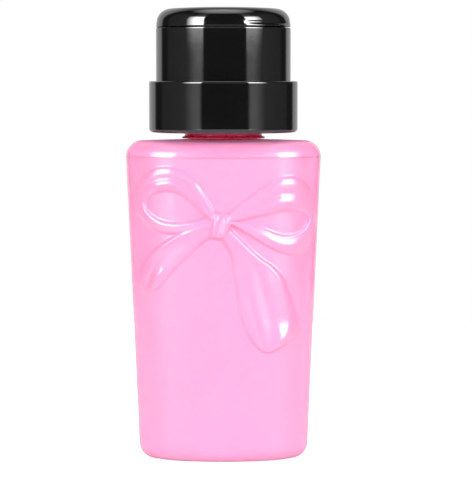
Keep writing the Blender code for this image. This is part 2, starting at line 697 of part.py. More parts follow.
def make_gasket():
    """The soft washer between the neck's rim and the pump's flange."""
    profile = ring_profile(stub_radius + GAP, FLANGE_RADIUS, GASKET_THICKNESS)
    return turned("neck_gasket", profile, gasket_z, SIDES_SMALL, foam, pump_axis)


def make_cylinder():
    """The pump cylinder: flange, bore, ball seat and a socket for the dip tube."""
    base = cylinder_z
    chamber = INLET_BALL_RADIUS + GAP
    outer_foot = chamber + VALVE_WALL
    socket = TUBE_RADIUS + GAP
    shelf = bore_z - CYLINDER_WALL
    profile = [
        (stub_radius, guide_flange_z - GAP - base), (stub_radius, flange_top - base),
        (FLANGE_RADIUS, flange_top - base), (FLANGE_RADIUS, flange_z - base),
        (stub_radius, flange_z - base), (stub_radius, shelf - base),
        (outer_foot, shelf - CYLINDER_WALL - base), (outer_foot, 0), (socket, 0),
        (socket, TUBE_SOCKET_DEPTH), (INLET_SEAT_RADIUS, TUBE_SOCKET_DEPTH),
        (INLET_SEAT_RADIUS, inlet_seat_z - base), (chamber, inlet_ball_z - base),
        (chamber, bore_z - base), (CYLINDER_BORE_RADIUS, bore_z - base),
        (CYLINDER_BORE_RADIUS, guide_flange_z - GAP - base)]
    return turned("pump_cylinder", profile, base, SIDES_SMALL, milky, pump_axis)


def make_guide():
    """The guide that plugs the cylinder, holds the closure down and carries the stem."""
    bore = STEM_RADIUS + GAP
    plug = CYLINDER_BORE_RADIUS - GAP
    flange = GUIDE_LENGTH + GUIDE_FLANGE_THICKNESS
    profile = [
        (GUIDE_FLANGE_RADIUS, flange), (GUIDE_FLANGE_RADIUS, GUIDE_LENGTH), (plug, GUIDE_LENGTH),
        (plug, 0), (bore, 0), (bore, flange)]
    return turned("stem_guide", profile, guide_z, SIDES_SMALL, milky, pump_axis)


def make_guide_seal():
    """The wiper ring under the guide."""
    profile = ring_profile(STEM_RADIUS + GAP, CYLINDER_BORE_RADIUS - GAP, GUIDE_SEAL_THICKNESS)
    return turned("guide_seal", profile, guide_seal_z, SIDES_SMALL, dark_rubber, pump_axis)


def make_cage():
    """The cage that keeps the inlet ball in and the spring centred."""
    spigot = SPRING_RADIUS - SPRING_WIRE_RADIUS - GAP
    profile = [
        (spigot, CAGE_THICKNESS + CAGE_SPIGOT), (spigot, CAGE_THICKNESS),
        (CYLINDER_BORE_RADIUS - GAP, CAGE_THICKNESS), (CYLINDER_BORE_RADIUS - GAP, 0),
        (CAGE_BORE_RADIUS, 0), (CAGE_BORE_RADIUS, CAGE_THICKNESS + CAGE_SPIGOT)]
    return turned("ball_cage", profile, cage_z, SIDES_SMALL, milky, pump_axis)


def make_ball(name, radius, height, material, carrier):
    """A valve ball with its origin at its centre."""
    item = add_part(name, ball_mesh(name, radius), material, carrier)
    item.location = (0, 0, height)
    return item


def make_tube():
    """The dip tube, with its lower end cut on a slant."""
    length = tube_top - tube_z
    profile = ring_profile(TUBE_BORE_RADIUS, TUBE_RADIUS, length)
    item = turned("dip_tube", profile, tube_z, SIDES_FINE, clear_plastic, pump_axis)
    wedge = TUBE_RADIUS + OVERRUN
    outline = [(-wedge, -wedge), (wedge, -wedge), (wedge, 0), (TUBE_RADIUS, 0),
               (-TUBE_RADIUS, TUBE_END_SLANT), (-wedge, TUBE_END_SLANT)]
    turn = Matrix.Rotation(math.radians(90), 4, "X")
    mesh = outline_mesh("tube_end_cut", outline, 2 * wedge, Matrix.Translation((0, 0, tube_z)) @ turn)
    boolean(item, add_cutter("tube_end_cut", mesh), "DIFFERENCE")
    return item


def spring_points():
    """Centre line of the return spring, with the end curls lying flatter than the others."""
    count = SPRING_CURLS * SPRING_POINTS
    height = SPRING_LENGTH - 2 * SPRING_WIRE_RADIUS
    points = []
    for step in range(count + 1):
        share = step / count
        rise = share - END_CURL_SHARE * math.sin(2 * math.pi * share)
        angle = 2 * math.pi * step / SPRING_POINTS
        points.append(Vector((SPRING_RADIUS * math.cos(angle), SPRING_RADIUS * math.sin(angle),
                              SPRING_WIRE_RADIUS + height * rise)))
    return points


def make_spring():
    """The return spring as one unbroken wire, measuring its least gap to itself."""
    points = spring_points()
    curve = bpy.data.curves.new("return_spring", "CURVE")
    curve.dimensions = "3D"
    curve.bevel_depth = SPRING_WIRE_RADIUS
    curve.bevel_resolution = 1
    curve.use_fill_caps = True
    spline = curve.splines.new("POLY")
    spline.points.add(len(points) - 1)
    for point, place in zip(spline.points, points):
        point.co = (*place, 1)
    item = add_part("return_spring", curve, steel, pump_axis)
    item.location = (0, 0, spring_z)
    least = min((a - b).length for i, a in enumerate(points) for b in points[i + SPRING_POINTS // 2:])
    print(f"return_spring least gap to itself {(least - 2 * SPRING_WIRE_RADIUS) * 1000:.2f} mm")
    return item


def make_stem():
    """The hollow stem between the piston and the dish."""
    profile = ring_profile(STEM_BORE_RADIUS, STEM_RADIUS, stem_top - stem_z)
    return turned("stem", profile, stem_z, SIDES_SMALL, milky, head_axis)


def make_piston():
    """The piston, with a wiping lip at each end."""
    outer = CYLINDER_BORE_RADIUS - GAP
    waist = outer - PISTON_WAIST
    bore = STEM_RADIUS + GAP
    profile = [
        (outer, PISTON_HEIGHT), (outer, PISTON_HEIGHT - PISTON_LIP),
        (waist, PISTON_HEIGHT - 2 * PISTON_LIP), (waist, 2 * PISTON_LIP), (outer, PISTON_LIP),
        (outer, 0), (bore, 0), (bore, PISTON_HEIGHT)]
    return turned("piston", profile, piston_z, SIDES_SMALL, soft_white, head_axis)


def make_core():
    """The piston's core, which plugs into the stem and takes the spring's push."""
    spigot = STEM_BORE_RADIUS - GAP
    top = CORE_THICKNESS + GAP + CORE_SPIGOT
    profile = [
        (spigot, top), (spigot, CORE_THICKNESS), (CORE_RADIUS, CORE_THICKNESS), (CORE_RADIUS, 0),
        (CORE_BORE_RADIUS, 0), (CORE_BORE_RADIUS, top)]
    return turned("piston_core", profile, core_z, SIDES_SMALL, milky, head_axis)


def make_dish():
    """The dish that a cotton pad is pressed on, with the outlet boss and the stem's socket."""
    rim = sleeve_bore - GAP
    inner_rim = rim - DISH_RIM_WALL
    floor = dish_rim_top - DISH_DEPTH
    chamber = OUTLET_BALL_RADIUS + GAP
    recess = INSERT_RADIUS + GAP
    boss = recess + BOSS_WALL
    socket_bore = STEM_RADIUS + GAP
    socket = socket_bore + SOCKET_WALL
    slope_top = floor + DISH_SLOPE
    world = [
        (rim, dish_rim_top), (rim, dish_skirt_z), (inner_rim, dish_skirt_z),
        (inner_rim, slope_top - DISH_FLOOR), (socket, floor - DISH_FLOOR), (socket, socket_z),
        (socket_bore, socket_z), (socket_bore, stem_top + GAP), (chamber, stem_top + GAP),
        (chamber, insert_z - GAP), (recess, insert_z - GAP), (recess, boss_top), (boss, boss_top),
        (boss, floor), (inner_rim - DISH_ROUND, slope_top), (inner_rim, slope_top + DISH_ROUND),
        (inner_rim, dish_rim_top)]
    profile = [(radius, z - socket_z) for radius, z in world]
    return turned("press_dish", profile, socket_z, SIDES_LARGE, dish_white, head_axis)


def make_insert():
    """The outlet insert over the ball, dimpled towards its hole."""
    profile = [
        (INSERT_RADIUS, INSERT_THICKNESS), (INSERT_RADIUS, 0), (INSERT_BORE_RADIUS, 0),
        (INSERT_BORE_RADIUS, INSERT_THICKNESS - INSERT_DIMPLE),
        (INSERT_RADIUS - INSERT_THICKNESS, INSERT_THICKNESS)]
    return turned("outlet_insert", profile, insert_z, SIDES_SMALL, milky, head_axis)


def hinge_matrix(offset):
    """Places an outline of the hinge: its X points out from the axis and its Y points up."""
    outward = Vector((-math.cos(THUMB_AZIMUTH), -math.sin(THUMB_AZIMUTH), 0))
    up = Vector((0, 0, 1))
    along = outward.cross(up)
    turn = Matrix((outward, up, along)).transposed().to_4x4()
    return Matrix.Translation(outward * hinge_radius + up * seam_z + along * offset) @ turn


def knuckle_outline(web_above):
    """Outline of a hinge knuckle with its web, which lies above or below the seam."""
    side = 1 if web_above else -1
    seam = side * GAP / 2
    root = hinge_radius - HEAD_RADIUS + HINGE_SINK
    outline = [(-root, seam), (-root, side * KNUCKLE_RADIUS)]
    outline += arc((0, 0), KNUCKLE_RADIUS, 90 * side, -180 * side, 3 * ARC_STEPS)
    outline.append((-KNUCKLE_RADIUS, seam))
    return outline


def pin_mesh(name, radius, length):
    """A cylinder along the hinge's axis."""
    mesh = cylinder_mesh(name, radius, length, SIDES_FINE)
    mesh.transform(hinge_matrix(0))
    return mesh


def make_sleeve():
    """The head's sleeve, with the ledge under the dish and two ears for the hinge pin."""
    ledge = sleeve_bore - LEDGE_WIDTH
    world = [
        (HEAD_RADIUS, sleeve_top), (HEAD_RADIUS, sleeve_z), (sleeve_bore, sleeve_z),
        (sleeve_bore, ledge_top - LEDGE_THICKNESS), (ledge, ledge_top - LEDGE_THICKNESS),
        (ledge, ledge_top), (sleeve_bore, ledge_top), (sleeve_bore, sleeve_top)]
    profile = [(radius, z - sleeve_z) for radius, z in world]
    item = turned("head_sleeve", profile, sleeve_z, SIDES_LARGE, gloss_black, head_axis)
    offset = (KNUCKLE_LENGTH + EAR_LENGTH) / 2 + GAP
    for name, side in (("ear_left", -1), ("ear_right", 1)):
        mesh = outline_mesh(name, knuckle_outline(False), EAR_LENGTH, hinge_matrix(side * offset))
        boolean(item, add_cutter(name, mesh), "UNION")
    reach = 2 * (offset + EAR_LENGTH)
    hole = add_cutter("ear_hole", pin_mesh("ear_hole", PIN_RADIUS + GAP, reach))
    boolean(item, hole, "DIFFERENCE")
    return item


def thumb_lip_mesh():
    """The crescent that stands out from the lid's side for a thumb."""
    root = HEAD_RADIUS - LID_WALL / 2
    steps = 3 * ARC_STEPS
    outline = []
    for step in range(steps + 1):
        share = 2 * step / steps - 1
        angle = THUMB_AZIMUTH + share * THUMB_HALF_ANGLE
        reach = HEAD_RADIUS + THUMB_LIP * math.cos(share * math.pi / 2) ** 2 - GAP / 2
        outline.append((reach * math.cos(angle), reach * math.sin(angle)))
    for step in range(steps, -1, -1):
        angle = THUMB_AZIMUTH + (2 * step / steps - 1) * THUMB_HALF_ANGLE
        outline.append((root * math.cos(angle), root * math.sin(angle)))
    middle = Matrix.Translation((0, 0, lid_z + (GAP + THUMB_LIP_HEIGHT) / 2))
    return outline_mesh("thumb_lip", outline, THUMB_LIP_HEIGHT - GAP, middle)


def make_scoop():
    """A ring whose inner edge hollows the lid above the lip and runs out at its ends."""
    radius = HEAD_RADIUS
    depth = THUMB_SCOOP
    shift = (2 * radius - depth) * depth / (2 * (radius - depth - radius * math.cos(THUMB_HALF_ANGLE)))
    inner = radius - depth + shift
    outer = inner + THUMB_SCOOP_HEIGHT + OVERRUN
    profile = [(outer, THUMB_SCOOP_HEIGHT), (outer, 0), (inner, 0)]
    profile += [(inner + x, z) for x, z in arc((THUMB_SCOOP_HEIGHT, 0), THUMB_SCOOP_HEIGHT, 180, 90)[1:]]
    item = add_cutter("thumb_scoop", profile_mesh("thumb_scoop", profile[:-1]))
    add_screw(item, SIDES_LARGE)
    item.location = (-shift * math.cos(THUMB_AZIMUTH), -shift * math.sin(THUMB_AZIMUTH),
                     lid_z + THUMB_LIP_HEIGHT)
    return item


def make_lid():
    """The flip lid: a shallow dome with a thumb lip, a tube for its seal and a hinge knuckle."""
    height = lid_top - lid_z
    inner_radius = HEAD_RADIUS - LID_WALL
    inner_round = LID_ROUND - LID_WALL
    side = height - LID_CROWN - LID_ROUND * (1 - math.sin(LID_SLOPE))
    edge = (HEAD_RADIUS - side * math.tan(LID_SLOPE) - LID_ROUND * math.cos(LID_SLOPE),
            height - LID_CROWN - LID_ROUND)
    lean = math.degrees(LID_SLOPE)
    crown = [(0, height), (edge[0] / 2, height - LID_CROWN / 4)]
    ceiling = [(edge[0] / 2, height - LID_CROWN / 4 - LID_WALL),
               (LID_TUBE_RADIUS, height - LID_WALL), (LID_TUBE_RADIUS, lid_tube_z - lid_z),
               (LID_TUBE_BORE_RADIUS, lid_tube_z - lid_z), (LID_TUBE_BORE_RADIUS, height - LID_WALL),
               (0, height - LID_WALL)]
    profile = crown + arc(edge, LID_ROUND, 90, lean, 5) + [(HEAD_RADIUS, 0), (inner_radius, 0)]
    profile += arc(edge, inner_round, lean, 90, 3) + ceiling
    item = turned("lid", profile, lid_z, SIDES_LARGE, gloss_black, lid_axis)
    boolean(item, add_cutter("thumb_lip", thumb_lip_mesh()), "UNION")
    boolean(item, make_scoop(), "DIFFERENCE")
    knuckle = outline_mesh("lid_knuckle", knuckle_outline(True), KNUCKLE_LENGTH, hinge_matrix(0))
    boolean(item, add_cutter("lid_knuckle", knuckle), "UNION")
    hole = add_cutter("knuckle_hole", pin_mesh("knuckle_hole", PIN_RADIUS + GAP,
                                               KNUCKLE_LENGTH + 2 * OVERRUN))
    boolean(item, hole, "DIFFERENCE")
    return item


def make_lid_seal():
    """The soft plug in the lid that shuts the outlet."""
    stud = LID_TUBE_BORE_RADIUS - GAP
    top = LID_SEAL_THICKNESS + GAP + LID_SEAL_STUD
    profile = [
        (0, top), (stud, top), (stud, LID_SEAL_THICKNESS), (LID_TUBE_RADIUS, LID_SEAL_THICKNESS),
        (LID_TUBE_RADIUS, 0), (0, 0)]
    return turned("lid_seal", profile, lid_seal_z, SIDES_SMALL, soft_white, lid_axis)


def make_pin():
    """The hinge pin, held by the sleeve's ears."""
    length = KNUCKLE_LENGTH + 2 * (EAR_LENGTH + GAP)
    return add_part("hinge_pin", pin_mesh("hinge_pin", PIN_RADIUS, length), steel, head_axis)


clear_scene()
parts = make_collection("nail_polish_remover_pump")
cutters = make_collection("cutters")

pink = make_material("pink bottle", (1.0, 0.46, 0.71), 0.35)
gloss_black = make_material("gloss black", (0.010, 0.010, 0.011), 0.12)
crimson = make_material("crimson closure", (0.45, 0.015, 0.06), 0.30)
milky = make_material("milky plastic", (0.82, 0.83, 0.82), 0.40)
soft_white = make_material("soft white plastic", (0.88, 0.88, 0.86), 0.55)
dish_white = make_material("dish", (0.90, 0.90, 0.89), 0.25)
clear_plastic = make_material("tube plastic", (0.80, 0.82, 0.83), 0.30)
foam = make_material("foam washer", (0.90, 0.89, 0.85), 0.80)
dark_rubber = make_material("dark rubber", (0.03, 0.03, 0.03), 0.70)
steel = make_material("steel", (0.60, 0.61, 0.62), 0.25, 1.0)
glass = make_material("glass ball", (0.75, 0.82, 0.84), 0.08)

pump_axis = add_carrier("pump_axis", (0, 0, flange_z))
closure_axis = add_carrier("closure_axis", (0, 0, closure_z))
head_axis = add_carrier("head_axis", (0, 0, socket_z))
lid_axis = add_carrier("lid_axis", hinge_matrix(0).translation)

make_bottle()
make_closure()
make_collar()
make_gasket()
make_cylinder()
make_guide()
make_guide_seal()
make_cage()
make_ball("inlet_ball", INLET_BALL_RADIUS, inlet_ball_z, glass, pump_axis)
make_tube()
make_spring()
make_stem()
make_piston()
make_core()
make_ball("outlet_ball", OUTLET_BALL_RADIUS, outlet_ball_z, glass, head_axis)
make_dish()
make_insert()
make_sleeve()
make_lid()
make_lid_seal()
make_pin()
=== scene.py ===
import math

import bmesh
import bpy
import numpy as np
from mathutils import Matrix, Vector


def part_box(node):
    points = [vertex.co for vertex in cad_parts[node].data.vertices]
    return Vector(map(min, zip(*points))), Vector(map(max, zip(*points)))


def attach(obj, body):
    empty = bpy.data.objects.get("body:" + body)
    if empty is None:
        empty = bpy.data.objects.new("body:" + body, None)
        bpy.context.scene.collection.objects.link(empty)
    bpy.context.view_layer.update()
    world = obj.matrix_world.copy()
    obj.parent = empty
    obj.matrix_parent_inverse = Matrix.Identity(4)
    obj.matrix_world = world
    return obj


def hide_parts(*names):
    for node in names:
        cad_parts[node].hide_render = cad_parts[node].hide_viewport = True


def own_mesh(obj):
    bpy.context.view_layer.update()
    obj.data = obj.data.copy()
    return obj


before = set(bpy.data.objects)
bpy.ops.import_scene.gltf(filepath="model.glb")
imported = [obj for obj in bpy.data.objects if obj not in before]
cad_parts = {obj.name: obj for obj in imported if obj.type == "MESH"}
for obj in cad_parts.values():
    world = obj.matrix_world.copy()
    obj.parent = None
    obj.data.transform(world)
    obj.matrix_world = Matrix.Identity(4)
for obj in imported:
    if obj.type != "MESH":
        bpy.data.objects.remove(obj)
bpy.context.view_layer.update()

# Camera, in the photograph's frame of 472 x 480 pixels
FRAME_WIDTH = 472
FRAME_HEIGHT = 480
SENSOR_WIDTH = 36.0
FOCAL_LENGTH = 170.7
CAMERA_PLACE = Vector((0.0, -0.8, 0.1344))
CAMERA_TARGET = Vector((0.0045, 0.0, 0.0776))

# Bottle body, as in the solid model apart from a base 1 mm wider and fuller faces
BODY_HEIGHT = 0.1138
BASE_WIDTH = 0.0596
SHOULDER_WIDTH = 0.0696
BASE_DEPTH = 0.0400
SHOULDER_DEPTH = 0.0460
BASE_FACE_RADIUS = 0.0435
SHOULDER_FACE_RADIUS = 0.0530
BODY_CORNER = 0.0080
CORNER_LEAST = 0.0024
SHOULDER_ROUND = 0.0056
SHOULDER_CROWN = 0.0006
FACE_FULLNESS = 0.0019      # how far the faces would stand out at their ends without the fall
FULLNESS_FALL = 8           # a high power keeps the fall close to the corners
FOOT_ROUND = 0.0052
FOOT_BAND = 0.0016
PUSH_UP = 0.0025
PUSH_UP_SLOPE = 0.0050
BOTTLE_WALL = 0.0012
NECK_RADIUS = 0.01075
NECK_BORE_RADIUS = 0.0093
NECK_HEIGHT = 0.0150
NECK_RIM_ROUND = (NECK_RADIUS - NECK_BORE_RADIUS) / 4
FRONT_COLUMNS = 330
CORNER_COLUMNS = 12
BACK_COLUMNS = 60
ROW_HEIGHT = 0.00025        # under the bow
ROWS_BELOW_BOW = 12
ROWS_ABOVE_BOW = 8
FOOT_STEPS = 12
SHOULDER_STEPS = 16
INSIDE_STEPS = 6
BOTTLE_SHARP_ANGLE = 60

# Bow: reach of its height map, its cell and the softness of its edges. The rows of the mesh
# are close together between two heights of the photograph.
BOW_KNOT = (-0.0009, 0.0833)    # x and z of the map's middle
BOW_REACH = 0.052
BOW_CELL = 0.00015
BOW_BLUR = 0.00020
BLUR_REACH = 3              # how far the blur is summed, in its own widths
BOW_LOW_PIXEL = 362
BOW_HIGH_PIXEL = 158
RIBBON_SAMPLES = (1100, 320)    # along a ribbon and across it
BEVEL_POWER = 1.5
PLACING_ROUNDS = 12         # rounds that find where a pixel's ray meets the front

# Edges of the bow's ribbons, in pixels of the photograph
LEFT_LOOP_OUTER = [
    (217, 217), (213, 210), (208, 200), (202, 191), (195, 181), (186, 173), (176, 168.5), (165.5, 167),
    (155, 168.5), (146, 174), (139.5, 183), (136, 193), (135.5, 203), (138, 213), (144, 222),
    (154, 229), (164, 233), (174, 234), (185, 233), (196, 229), (208, 225), (214, 226)]
LEFT_LOOP_INNER = [
    (215, 221), (208, 218), (202, 212), (193, 203.5), (184.5, 197), (176, 193), (167, 191.5), (157, 193),
    (149.5, 197), (145.5, 202), (145, 206.5), (148, 211.5), (155, 217.5), (164, 221.5), (176, 223),
    (187.5, 222), (199, 220), (208, 218.5), (215, 222)]
RIGHT_LOOP_OUTER = [
    (226, 216), (231.5, 211), (240, 204), (250, 197), (259, 190.5), (268, 184.5), (277, 179.5), (286, 177),
    (294, 177), (301, 179.5), (307, 185), (311, 193), (313.5, 203), (314.5, 214), (314, 226),
    (312, 237), (308.5, 246), (303, 252.5), (295, 255), (286, 254), (277, 251), (268, 246.5),
    (258, 240.5), (247, 233.5), (236, 227), (229, 224)]
RIGHT_LOOP_INNER = [
    (228, 222), (236, 222), (245, 220), (255, 217.5), (267, 215), (278.5, 212), (290, 211), (299, 212),
    (305.5, 215), (308.5, 219.5), (307, 224.5), (302.5, 230), (296, 233.5), (286, 235.5),
    (275.5, 233.5), (265, 229), (252, 225.5), (240, 223), (230, 222)]
LEFT_TAIL_UPPER = [
    (213, 224), (200, 226), (187.5, 230.5), (179, 233.5), (168.5, 239), (159.5, 245), (151.5, 252),
    (145.5, 260), (141.5, 268), (139, 277), (139.5, 284), (143.5, 290)]
LEFT_TAIL_LOWER = [
    (218, 234), (211, 237), (201, 244.5), (194.5, 250), (189, 255.5), (184, 260.5), (178.5, 265.5),
    (173.5, 271), (168.5, 276.5), (164, 282), (159.5, 287), (154.5, 292)]
RIGHT_TAIL_LEFT = [
    (222, 228), (221, 237), (229, 249), (232.5, 259), (234, 271), (236, 285.5), (237.5, 300), (240.5, 316),
    (246, 331), (253.5, 343), (261, 350.5), (267, 353)]
RIGHT_TAIL_RIGHT = [
    (226, 222), (230, 228), (242, 240), (252, 250), (262, 258.5), (272.5, 265.5), (280, 272.5),
    (285, 279.5), (288.5, 290), (292.5, 301.5), (297, 315), (299, 323.5), (298, 332), (293, 339),
    (284.5, 345.5), (275.5, 350), (268, 353)]
LEFT_WRAP_LEFT = [(214, 212), (211, 224), (210, 238)]
LEFT_WRAP_RIGHT = [(221.5, 213), (218.5, 227), (217, 238.5)]
RIGHT_WRAP_LEFT = [(223, 213), (220, 225.5), (218, 238.5)]
RIGHT_WRAP_RIGHT = [(232, 216), (230, 228.5), (224.5, 240)]

# Each ribbon: its two edges; at even steps along it, the shares of its width over which the
# first and the second side rise, how far those sides are bevelled and not round, and the
# crown's height; the shares of its length over which its two ends round up; and its folds.
# A fold runs from (across, along) to (across, along), with a width across, a height and the
# share of the length over which it fades.
RIBBONS = [
    {"edges": (LEFT_TAIL_UPPER, LEFT_TAIL_LOWER), "ends": (0.0, 0.10),
     "first": (0.20, 0.16, 0.14, 0.16, 0.26), "second": (0.30, 0.30, 0.30, 0.26, 0.26),
     "crown": (0.0016, 0.0012, 0.0011, 0.0011, 0.0011),
     "folds": [(0.10, 0.0, 0.10, 0.65, 0.06, 0.0003, 0.15),
               (0.50, 0.0, 0.44, 0.75, 0.20, -0.00015, 0.2),
               (0.66, 0.62, 0.60, 1.0, 0.09, 0.0004, 0.15),
               (0.40, 0.60, 0.42, 1.0, 0.08, -0.0005, 0.15)]},
    {"edges": (RIGHT_TAIL_LEFT, RIGHT_TAIL_RIGHT), "ends": (0.0, 0.12),
     "first": (0.30, 0.22, 0.18, 0.16, 0.16, 0.18, 0.22),
     "second": (0.24, 0.20, 0.15, 0.13, 0.18, 0.30, 0.34), "second_bevel": (1, 1, 1, 1, 0.5, 0, 0),
     "crown": (0.0019, 0.0015, 0.0012, 0.0011, 0.0011, 0.0010, 0.0010, 0.0011, 0.0012, 0.0012,
               0.0012),
     "folds": [(0.92, 0.0, 0.93, 0.55, 0.05, 0.0003, 0.1),
               (0.36, 0.30, 0.32, 0.95, 0.09, 0.0004, 0.3),
               (0.24, 0.25, 0.22, 0.95, 0.06, -0.0003, 0.3),
               (0.66, 0.20, 0.68, 0.70, 0.10, 0.0003, 0.3),
               (0.50, 0.15, 0.50, 0.80, 0.10, -0.0003, 0.3),
               (0.76, 0.63, 0.68, 1.0, 0.24, 0.0009, 0.18)]},
    {"edges": (LEFT_LOOP_OUTER, LEFT_LOOP_INNER), "ends": (0.0, 0.0),
     "first": (0.30, 0.30, 0.30, 0.36, 0.52, 0.40, 0.30, 0.30, 0.30, 0.28, 0.28, 0.28),
     "first_bevel": (1, 1, 1, 0.4, 0, 0, 0, 0, 0, 0, 0, 0),
     "second": (0.30, 0.32, 0.34, 0.34, 0.36, 0.40, 0.36, 0.32, 0.32, 0.34, 0.40),
     "crown": (0.0018, 0.0011, 0.0009, 0.0011, 0.0014, 0.0013, 0.0012, 0.0012, 0.0012, 0.0014,
               0.0017),
     "folds": [(0.42, 0.08, 0.48, 0.50, 0.12, -0.0004, 0.15),
               (0.68, 0.0, 0.70, 0.50, 0.14, 0.0003, 0.15)]},
    {"edges": (RIGHT_LOOP_OUTER, RIGHT_LOOP_INNER), "ends": (0.0, 0.0),
     "first": (0.20, 0.18, 0.26, 0.34, 0.36, 0.30, 0.26, 0.26),
     "second": (0.26, 0.26, 0.26, 0.30, 0.22, 0.20, 0.20, 0.20),
     "crown": (0.0017, 0.0011, 0.0013, 0.0012, 0.0012, 0.0011, 0.0011, 0.0015),
     "folds": [(0.46, 0.08, 0.50, 0.46, 0.10, -0.00035, 0.15),
               (0.70, 0.05, 0.74, 0.48, 0.12, 0.0003, 0.15),
               (0.80, 0.56, 0.80, 0.94, 0.06, -0.0002, 0.1),
               (0.50, 0.56, 0.50, 0.94, 0.16, 0.0002, 0.1)]},
    {"edges": (LEFT_WRAP_LEFT, RIGHT_WRAP_RIGHT), "ends": (0.1, 0.1),
     "first": (0.12, 0.12), "second": (0.12, 0.12), "crown": (0.0018, 0.0020, 0.0018),
     "folds": []},
    {"edges": (LEFT_WRAP_LEFT, LEFT_WRAP_RIGHT), "ends": (0.35, 0.25),
     "first": (0.60, 0.60), "second": (0.50, 0.50), "crown": (0.0026, 0.0028, 0.0026),
     "folds": []},
    {"edges": (RIGHT_WRAP_LEFT, RIGHT_WRAP_RIGHT), "ends": (0.35, 0.25),
     "first": (0.50, 0.50), "second": (0.50, 0.50), "crown": (0.0026, 0.0028, 0.0026),
     "folds": [(0.34, 0.40, 0.38, 1.0, 0.08, -0.0004, 0.2)]}]

# Round pieces, whose places come from the solids
GAP = 0.0003
EDGE_ROUND = 0.00025
CORNER_ANGLE = math.radians(25)     # corners that turn less stay as they are
CORNER_SHARE = 0.45         # most of a side that the rounding of one corner takes
CORNER_STEPS = 3
LONG_SIDE = 4               # sides longer than this many roundings are held flat
SIDES = 192
SHARP_ANGLE = 40            # in degrees, as the bottle's, the hinge's and the spring's are

# Head sleeve
HEAD_RADIUS = 0.0240
HEAD_WALL = 0.0013
DISH_RIM_HEIGHT = 0.0041
LEDGE_WIDTH = 0.0021
LEDGE_THICKNESS = 0.0012

# Lid, with its thumb lip
LID_WALL = 0.0016
LID_SLOPE = math.radians(7.5)
LID_ROUND = 0.0049
LID_CROWN = 0.0006
LID_ROWS = 8
LID_CROWN_STEPS = 12
LID_ROUND_STEPS = 30
LID_INSIDE_STEPS = 8
LID_TUBE_RADIUS = 0.0048
LID_TUBE_BORE_RADIUS = 0.0036
LID_TUBE_RIM = 0.0021
LID_BASE_ROUND_MIDDLE = 0.3     # share of the base's rounding at its middle point
THUMB_AZIMUTH = math.radians(-45)
THUMB_HALF_ANGLE = math.radians(28)
THUMB_SKIN = 0.6 * LID_WALL     # how deep in the lid's wall the lip still moves it
THUMB_LIP = 0.0004
THUMB_LIP_HEIGHT = 0.0007
THUMB_LIP_DRAW = 0.3        # share of the lip that is lost at its top
THUMB_SCOOP = 0.0002
THUMB_SCOOP_HEIGHT = 0.0014
THUMB_POWER = 4             # a high power keeps the lip and the scoop full for longer

# Collar
COLLAR_WALL = 0.0015
COLLAR_FLOOR = 0.0014
COLLAR_FOOT_ROUND = 0.0014
COLLAR_FOOT_STEPS = 12
COLLAR_RIM_ROUND = 0.0006
COLLAR_RIM_STEPS = 8
HUB_WALL = 0.0014
HUB_HEIGHT = 0.0070

# Screw closure
CLOSURE_RADIUS = 0.0137
CLOSURE_INNER_RADIUS = 0.0122
CLOSURE_PLATE = 0.0012
CLOSURE_FLARE_HEIGHT = 0.0009
STUB_RADIUS = 0.0070

# Hinge, opposite the thumb lip
KNUCKLE_RADIUS = 0.0015
KNUCKLE_LENGTH = 0.0064
KNUCKLE_STEPS = 48
EAR_LENGTH = 0.0033
PIN_RADIUS = 0.00075
PIN_ROUND = PIN_RADIUS / 3
PIN_SIDES = 48
PIN_HOLE_SIDES = 32
PIN_PLAY = 0.00005
HINGE_SINK = 0.0011         # how far its webs reach into the walls
HINGE_BEVEL = 0.0001
HINGE_RIM_ANGLE = math.radians(60)
HINGE_SHARP_ANGLE = 30

# Return spring
SPRING_RADIUS = 0.0036      # radius of the wire's centre line
SPRING_WIRE_RADIUS = 0.0004
SPRING_CURLS = 8
SPRING_STEPS = 40           # rings in each curl
SPRING_SIDES = 16
SPRING_SHARP_ANGLE = 60
END_CURL_SHARE = 0.06       # share of its height by which its curls shift towards its ends

# Studio light. Each light is a strength and one or two curves. A curve's places are shares of
# a half turn: aside from the front, or in height from straight down to straight up.
STUDIO_TURN = math.radians(2.5)
BOX_STRENGTH = 16.0
BOX_ASIDE = [(0.200, 0), (0.210, 1), (0.30, 0.9), (0.39, 0)]
BOX_HEIGHT = [(0.504, 0), (0.524, 1), (0.62, 0.9), (0.67, 0.75), (0.70, 0)]
GLOW_STRENGTH = 0.95
GLOW_ASIDE = [(0.0, 0.03), (0.195, 0.04), (0.225, 0.8), (0.27, 0.8), (0.36, 0.22),
              (0.61, 0.12), (0.64, 0.04), (0.72, 0.04), (0.76, 0.78), (1.0, 0.78)]
GLOW_HEIGHT = [(0.70, 1), (0.80, 0.35)]
TOP_STRENGTH = 2.0
TOP_HEIGHT = [(0.83, 0), (0.87, 0.45), (0.93, 1)]
FRONT_STRENGTH = 0.9
FRONT_ASIDE = [(0.19, 1), (0.215, 0)]
FRONT_HEIGHT = [(0.36, 0), (0.40, 1), (0.478, 1), (0.490, 0), (0.510, 0),
                (0.520, 0.5), (0.57, 0.5), (0.59, 0)]
STREAK_STRENGTH = 2.4
STREAK_ASIDE = [(0.200, 0), (0.215, 1), (0.235, 0.5), (0.27, 0.15), (0.31, 0)]
STREAK_HEIGHT = [(0.38, 0.2), (0.44, 0.5), (0.468, 0.9), (0.484, 1.0), (0.491, 0)]

# Floor
FLOOR_RADIUS = 0.45
FLOOR_SIDES = 128
FLOOR_COLOUR = (0.82, 0.82, 0.82, 1)
FLOOR_ROUGHNESS = 0.9
FLOOR_SPECULAR = 0.1
FLOOR_GLOW = 0.6            # to the camera alone

